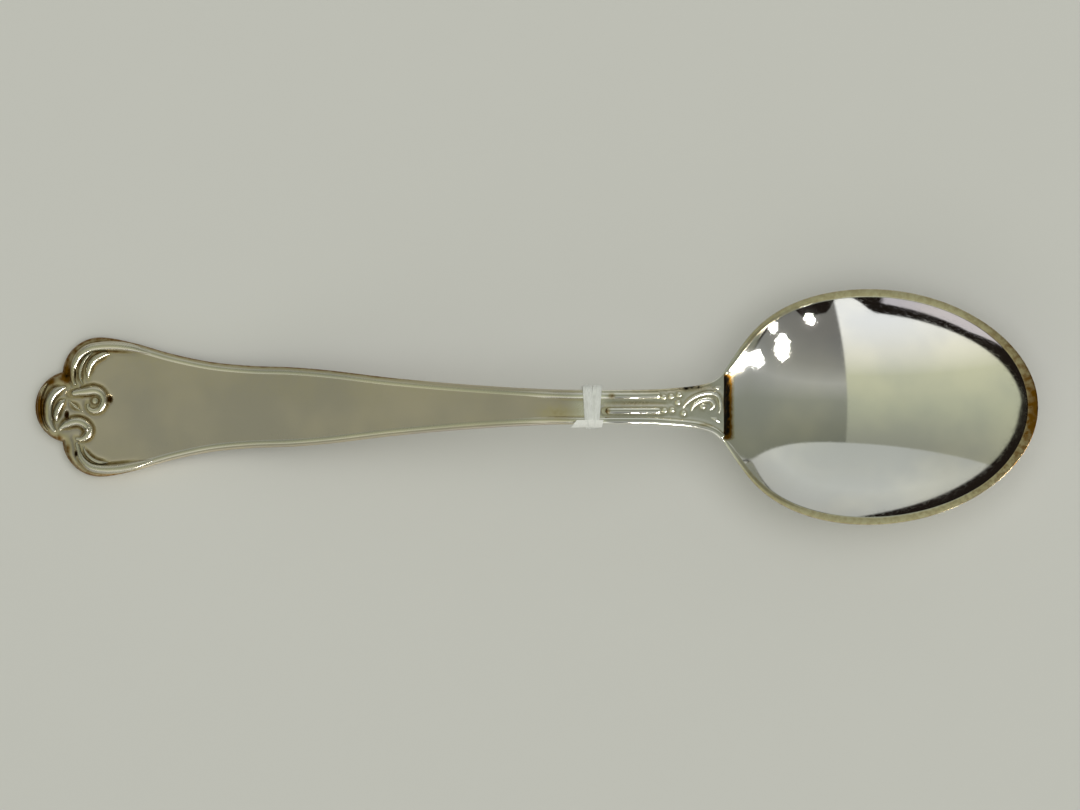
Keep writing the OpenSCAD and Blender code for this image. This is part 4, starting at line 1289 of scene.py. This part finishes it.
class TEASPOON_OT_tie(bpy.types.Operator):
    """Make the thread tie: two turns of a soft twisted strand, its knot and its loose fibres"""

    bl_idname = "teaspoon.tie"
    bl_label = "Thread tie"

    PLIES, TURNS, FIBRES = 7, 2, 60
    # Turns made so far, then the strand's place along the stem as a share of the pitch
    DRIFT = [(0, -1), (0.12, -0.55), (0.3, -0.5), (0.7, -0.5), (0.88, -0.45), (1, 0), (1.12, 0.45),
             (1.3, 0.5), (1.7, 0.5), (1.88, 0.55), (2, 1)]
    # How much closer the turns and the plies lie at the lower side, as in a thread pulled tight
    PULL, NARROWING = 0.48, 0.26
    # Radii of a loose fibre, a pass of the knot and a strand of its bight, in millimetres
    FIBRE, PASS, BIGHT = 0.011, 0.19, 0.17

    def execute(self, context):
        s = spoon_sizes()
        tie = tie_frame(s)
        settle(self.strand(s, tie), "tie", cotton_material(), ["tie_thread"])
        settle(self.knot(s, tie), "tie", cotton_material(), ["tie_knot"])
        return {"FINISHED"}

    def strand(self, s, tie):
        y, z, ny, nz, turned, at = loop_path(tie, self.TURNS, 300)
        lower = clamp01((tie.side - y) / (2 * tie.side))
        x = tie.x + tie.pitch * smooth_at(self.DRIFT, turned) * (1 - self.PULL * lower)
        rng = random.Random(7)
        parts = []
        # The plies lie side by side, the middle ones higher, and wander a little
        for ply in range(self.PLIES):
            lane = 2 * ply / (self.PLIES - 1) - 1
            wander = rng.random() * 6
            radius = tie.ply_radius * (0.95 + 0.25 * rng.random())
            wide = 0.44 * lane * (1 - self.NARROWING * lower) + 0.035 * np.sin(at * 0.9 + wander)
            out = 0.10 * math.cos(lane * 1.4) + 0.02 * np.sin(at * 1.7 + wander)
            centre = np.stack([x + wide, y + ny * out, z + nz * out], axis=1)
            parts.append(tube(s, "ply", centre, radius, flattened=1.15))
        for _ in range(self.FIBRES):
            i = rng.randrange(12, len(y) - 12)
            out = np.array([0, ny[i], nz[i]])
            base = np.array([x[i] + rng.uniform(-0.5, 0.5), y[i], z[i]]) + out * 0.18
            lean = np.array([rng.uniform(-1, 1), rng.uniform(-0.5, 0.5), rng.uniform(-0.5, 0.5)])
            lean += out * rng.uniform(0.1, 0.6)
            lean /= np.linalg.norm(lean)
            curl = np.array([rng.uniform(-1, 1) for _ in range(3)]) * 0.1
            reach = rng.uniform(0.15, 0.36)
            t = np.linspace(0, 1, 6)[:, None]
            hair = base + lean * reach * t + curl * t * t
            parts.append(tube(s, "fibre", hair, self.FIBRE, 3))
        return join("tie_strands", parts)

    def knot(self, s, tie):
        """Two tight passes over the strands' ends and a bight below them."""
        first, last = (tie.x + tie.pitch * self.TURNS / 2 * way for way in (-1, 1))
        angle = np.linspace(0, 2 * math.pi, 49)[:-1]
        half = tie.knot_width / 2 - 0.18
        parts = []
        for x in (first + 0.35, last - 0.35):
            for lean in (-0.22, 0.22):
                hoop = np.stack([
                    x + lean + 0.12 * np.sin(angle), half * np.cos(angle),
                    tie.bottom - 0.2 + 0.42 * np.sin(angle)], axis=1)
                parts.append(tube(s, "pass", hoop, self.PASS))
        low = tie.bottom - tie.half - tie.bight_thickness / 2
        t = np.linspace(0, 1, 60)
        for lean in (-0.3, 0, 0.3):
            bight = np.stack([
                mix(first, last, t), lean * np.cos(t * math.pi * 3) + 0.05,
                low + 0.05 * np.sin(t * math.pi * 5 + lean * 9)], axis=1)
            parts.append(tube(s, "bight", bight, self.BIGHT))
        return join("tie_knot_passes", parts)


def tube(s, name, centre, radius, segments=8, flattened=1):
    """A thin tube along points, wider one way if flattened, and closed at its ends."""
    rings = len(centre) - 1
    ahead = directions(centre)
    side, other = (axis - ahead * (ahead @ axis)[:, None]
                   for axis in (np.array([1, 0.02, 0.03]), np.array([0.03, 0.02, 1])))
    weak = np.linalg.norm(side, axis=1) < 0.3
    side = np.where(weak[:, None], other, side)
    side /= np.linalg.norm(side, axis=1)[:, None]
    up = np.cross(ahead, side)

    def place(ring, segment):
        angle = 2 * math.pi * segment / segments
        r = np.where((ring == 0) | (ring == rings), 0, radius)
        across, upward = r * flattened * np.cos(angle), r * np.sin(angle)
        p = centre[ring] + side[ring] * across[:, None] + up[ring] * upward[:, None]
        return to_row(s, *p.T), None

    return ball_piece(name, segments, rings, place)


class TEASPOON_OT_tab(bpy.types.Operator):
    """Make the end of the white paper label that the thread carries"""

    bl_idname = "teaspoon.tab"
    bl_label = "Paper tab"

    # From the tie's middle to the tab's front end, slant of its ends and fall past the bend, in
    # millimetres
    AHEAD, SLANT, FALL = 1.4, 0.75, 0.22

    def execute(self, context):
        s = spoon_sizes()
        tie = tie_frame(s)
        deselect_all()
        bpy.ops.mesh.primitive_grid_add(x_subdivisions=26, y_subdivisions=14, size=2)
        piece = bpy.context.object
        co = coordinates(piece.data)
        u, t = (co[:, 0] + 1) / 2, (co[:, 1] + 1) / 2
        # The paper bends with the strands over the stem's corner and then falls straight
        inner = tie.bend_radius + tie.half * math.sin(math.radians(60)) + 0.01
        bend_run = inner * math.pi / 4
        run = t * (bend_run + self.FALL)
        angle = math.radians(90) + np.minimum(run, bend_run) / inner
        extra = np.maximum(run - bend_run, 0)
        reach = inner + 0.03 * np.sin(u * 9 + 1) * t
        y = reach * np.cos(angle) - tie.across - extra * math.sin(math.radians(135))
        z = reach * np.sin(angle) + tie.middle + tie.upright + extra * math.cos(math.radians(135))
        front = tie.x + self.AHEAD - self.SLANT * t / 4
        back = tie.x + self.AHEAD - tie.tab_width - self.SLANT * t
        set_coordinates(piece.data, to_row(s, mix(back, front, u), y, z))
        only(piece)
        thickness = 0.85 * tie.tab_thickness * MILLIMETRE
        for kind, values in (
                ("SOLIDIFY", {"thickness": thickness, "offset": 1}),
                ("BEVEL", {"width": 0.04 * MILLIMETRE, "segments": 2, "limit_method": "ANGLE"})):
            modifier = piece.modifiers.new(kind, kind)
            for key, value in values.items():
                setattr(modifier, key, value)
            bpy.ops.object.modifier_apply(modifier=modifier.name)
        close_up(piece)
        join("label_tab", [piece])
        settle(piece, "tie", paper_material(), ["tie_tab"])
        return {"FINISHED"}


class TEASPOON_OT_stage(bpy.types.Operator):
    """Make the plain floor, the soft studio light and the camera"""

    bl_idname = "teaspoon.stage"
    bl_label = "Stage"

    # The camera's height, and the height, width and middle of its view, in metres
    DISTANCE, VIEW_HEIGHT, VIEW_WIDTH = 1.4, 0.008, 0.1343
    VIEW_MIDDLE = (0.00056, 0.00025)
    # In millimetres
    SENSOR_WIDTH = 36
    # Direction, distance, width and height in metres, power in watts and roll in degrees
    LAMPS = {
        "lamp_near": ((0.703, -0.656, 0.276), 3.0, 0.45, 0.85, 50, -45),
        "lamp_far": ((0.886, -0.46, 0.09), 3.0, 0.38, 0.44, 25, 0),
        "lamp_small": ((0.68, -0.733, 0.05), 3.0, 0.23, 0.23, 7, 0),
        "lamp_narrow": ((0.40, -0.90, 0.17), 3.0, 0.15, 0.34, 12, 0),
        "lamp_overhead": ((0.12, 0.1, 1.0), 2.3, 2.4, 2.4, 29, 0),
    }

    def execute(self, context):
        scene = context.scene
        scene.view_settings.view_transform = "Standard"
        self.floor(scene)
        self.surroundings(scene)
        self.lamps(scene)
        camera = bpy.data.cameras.new("camera")
        camera.sensor_width = self.SENSOR_WIDTH
        camera.lens = self.SENSOR_WIDTH * (self.DISTANCE - self.VIEW_HEIGHT) / self.VIEW_WIDTH
        holder = bpy.data.objects.new("camera", camera)
        scene.collection.objects.link(holder)
        holder.location = (*self.VIEW_MIDDLE, self.DISTANCE)
        scene.camera = holder
        return {"FINISHED"}

    def floor(self, scene):
        deselect_all()
        bpy.ops.mesh.primitive_circle_add(vertices=96, radius=1.6, fill_type="TRIFAN")
        floor = bpy.context.object
        floor.name = "floor"
        material, n, shader, place = new_material("pale_table")
        pale = scene.teaspoon_finish.floor
        n.fill(shader, {
            "Base Color": n.blend(n.noise(place, 90, 4, 0.6), darker(pale, 0.985), rgba(pale)),
            "Roughness": 0.9, "Specular IOR Level": 0.2})
        floor.data.materials.append(material)

    def surroundings(self, scene):
        """A plain studio tent: grey at one end, warm beige over the other, white in front, dark
        along the horizon, and a pale strip low at the back."""
        world = bpy.data.worlds.new("studio_tent")
        scene.world = world
        world.use_nodes = True
        world.node_tree.nodes.clear()
        n = Nodes(world.node_tree)
        way = n.add("ShaderNodeTexCoord").outputs["Generated"]
        x, y, z = n.add("ShaderNodeSeparateXYZ", {0: way}).outputs
        beige = n.tones(y, [
            (-0.97, (0.97, 0.99, 0.97)), (-0.8, (0.86, 0.86, 0.76)), (-0.5, (0.56, 0.58, 0.43)),
            (0, (0.45, 0.475, 0.355)), (0.6, (0.32, 0.33, 0.26))])
        grey = n.tones(y, [
            (-0.9, (0.18, 0.18, 0.17)), (-0.62, (0.26, 0.265, 0.24)), (-0.38, (0.40, 0.41, 0.375)),
            (-0.1, (0.28, 0.295, 0.24)), (0.35, (0.225, 0.235, 0.18)), (0.6, (0.19, 0.20, 0.155))])
        white = n.tones(z, [
            (0.02, (0.50, 0.51, 0.47)), (0.3, (0.60, 0.62, 0.57)), (0.5, (0.55, 0.57, 0.52)),
            (0.8, (0.51, 0.53, 0.48))])
        white = n.blend(n.ramp(x, -0.7, -0.1, 0.22, 0), white, (0, 0, 0, 1))
        in_front = n.over(y, n.maths("MULTIPLY_ADD", x, -0.13, 0.585), 0.012)
        tent = n.blend(in_front, n.blend(n.ramp(x, 0.19, 0.21), beige, grey), white)
        # The dark rises along the horizon towards the handle's side
        behind = n.maths("MAXIMUM", n.times(x, -1.0), 0.0)
        near_share = n.ramp(y, -0.1, 0.1)
        far_share = n.maths("SUBTRACT", 1.0, near_share)
        near_rise = n.times(n.maths("MULTIPLY_ADD", behind, 0.38, 0.05), near_share)
        far_rise = n.times(n.maths("MULTIPLY_ADD", behind, 0.22, 0.18), far_share)
        rise = n.times(n.maths("ADD", near_rise, far_rise), n.ramp(x, -0.02, 0.12, 1, 0.1))
        corner = n.times(n.ramp(x, 0.17, 0.27, 0, 0.14), n.ramp(x, 0.42, 0.48, 1, 0),
                         n.ramp(y, -0.86, -0.8, 1, 0))
        above = n.over(z, n.maths("MAXIMUM", rise, corner), 0.01)
        room = n.blend(above, (0.012, 0.009, 0.007, 1), tent)
        high = n.maths("MINIMUM", n.maths("MULTIPLY_ADD", behind, 0.31, 0.07), 0.23)
        strip = n.times(
            n.over(z, n.times(behind, 0.22), 0.004), n.over(high, z, 0.004),
            n.ramp(y, -0.6, -0.55, 1, 0), n.ramp(behind, 0.02, 0.05),
            n.ramp(behind, 0.70, 0.72, 1, 0))
        room = n.blend(strip, room, (0.60, 0.57, 0.60, 1))
        back = n.add("ShaderNodeBackground", {"Color": room}).outputs[0]
        n.add("ShaderNodeOutputWorld", {"Surface": back})

    def lamps(self, scene):
        """Small lamps that only polished surfaces show, as rounded spots, and a broad soft one
        that lights the matt ones. The camera sees none of them."""
        for name, (direction, distance, width, height, power, roll) in self.LAMPS.items():
            matt = name == "lamp_overhead"
            light = bpy.data.lights.new(name, "AREA")
            light.shape = "RECTANGLE" if matt else "ELLIPSE"
            light.size, light.size_y = width, height
            light.energy = power
            light.color = (1, 1, 1) if matt else (1, 0.985, 0.93)
            lamp = bpy.data.objects.new(name, light)
            scene.collection.objects.link(lamp)
            way = Vector(direction).normalized()
            lamp.location = way * distance
            lamp.rotation_mode = "QUATERNION"
            turn = Quaternion((0, 0, 1), math.radians(roll))
            lamp.rotation_quaternion = way.to_track_quat("Z", "Y") @ turn
            lamp.visible_camera = False
            lamp.visible_glossy, lamp.visible_diffuse = not matt, matt


OPERATORS = (
    TEASPOON_OT_handle,
    TEASPOON_OT_stem,
    TEASPOON_OT_bowl,
    TEASPOON_OT_relief,
    TEASPOON_OT_beads,
    TEASPOON_OT_tie,
    TEASPOON_OT_tab,
    TEASPOON_OT_stage,
)


class TEASPOON_PT_panel(bpy.types.Panel):
    """The teaspoon's pieces and sizes in the 3D view's sidebar"""

    bl_idname = "TEASPOON_PT_panel"
    bl_label = "Teaspoon"
    bl_space_type = "VIEW_3D"
    bl_region_type = "UI"
    bl_category = "Teaspoon"

    def draw(self, context):
        layout = self.layout
        for kind in OPERATORS:
            layout.operator(kind.bl_idname)
        for group_name, kind in GROUPS.items():
            box = layout.box()
            box.label(text=kind.__doc__)
            for name in kind.__annotations__:
                box.prop(getattr(context.scene, group_name), name)


def register():
    for kind in (*GROUPS.values(), *OPERATORS, TEASPOON_PT_panel):
        bpy.utils.register_class(kind)
    for name, kind in GROUPS.items():
        setattr(bpy.types.Scene, name, bpy.props.PointerProperty(type=kind))


def unregister():
    for name in GROUPS:
        delattr(bpy.types.Scene, name)
    for kind in reversed((*GROUPS.values(), *OPERATORS, TEASPOON_PT_panel)):
        bpy.utils.unregister_class(kind)


def main():
    register()
    bpy.ops.teaspoon.stage()
    bpy.ops.teaspoon.handle()
    bpy.ops.teaspoon.stem()
    bpy.ops.teaspoon.bowl()
    bpy.ops.teaspoon.relief()
    bpy.ops.teaspoon.beads()
    bpy.ops.teaspoon.tie()
    bpy.ops.teaspoon.tab()
    deselect_all()


if __name__ == "__main__":
    main()
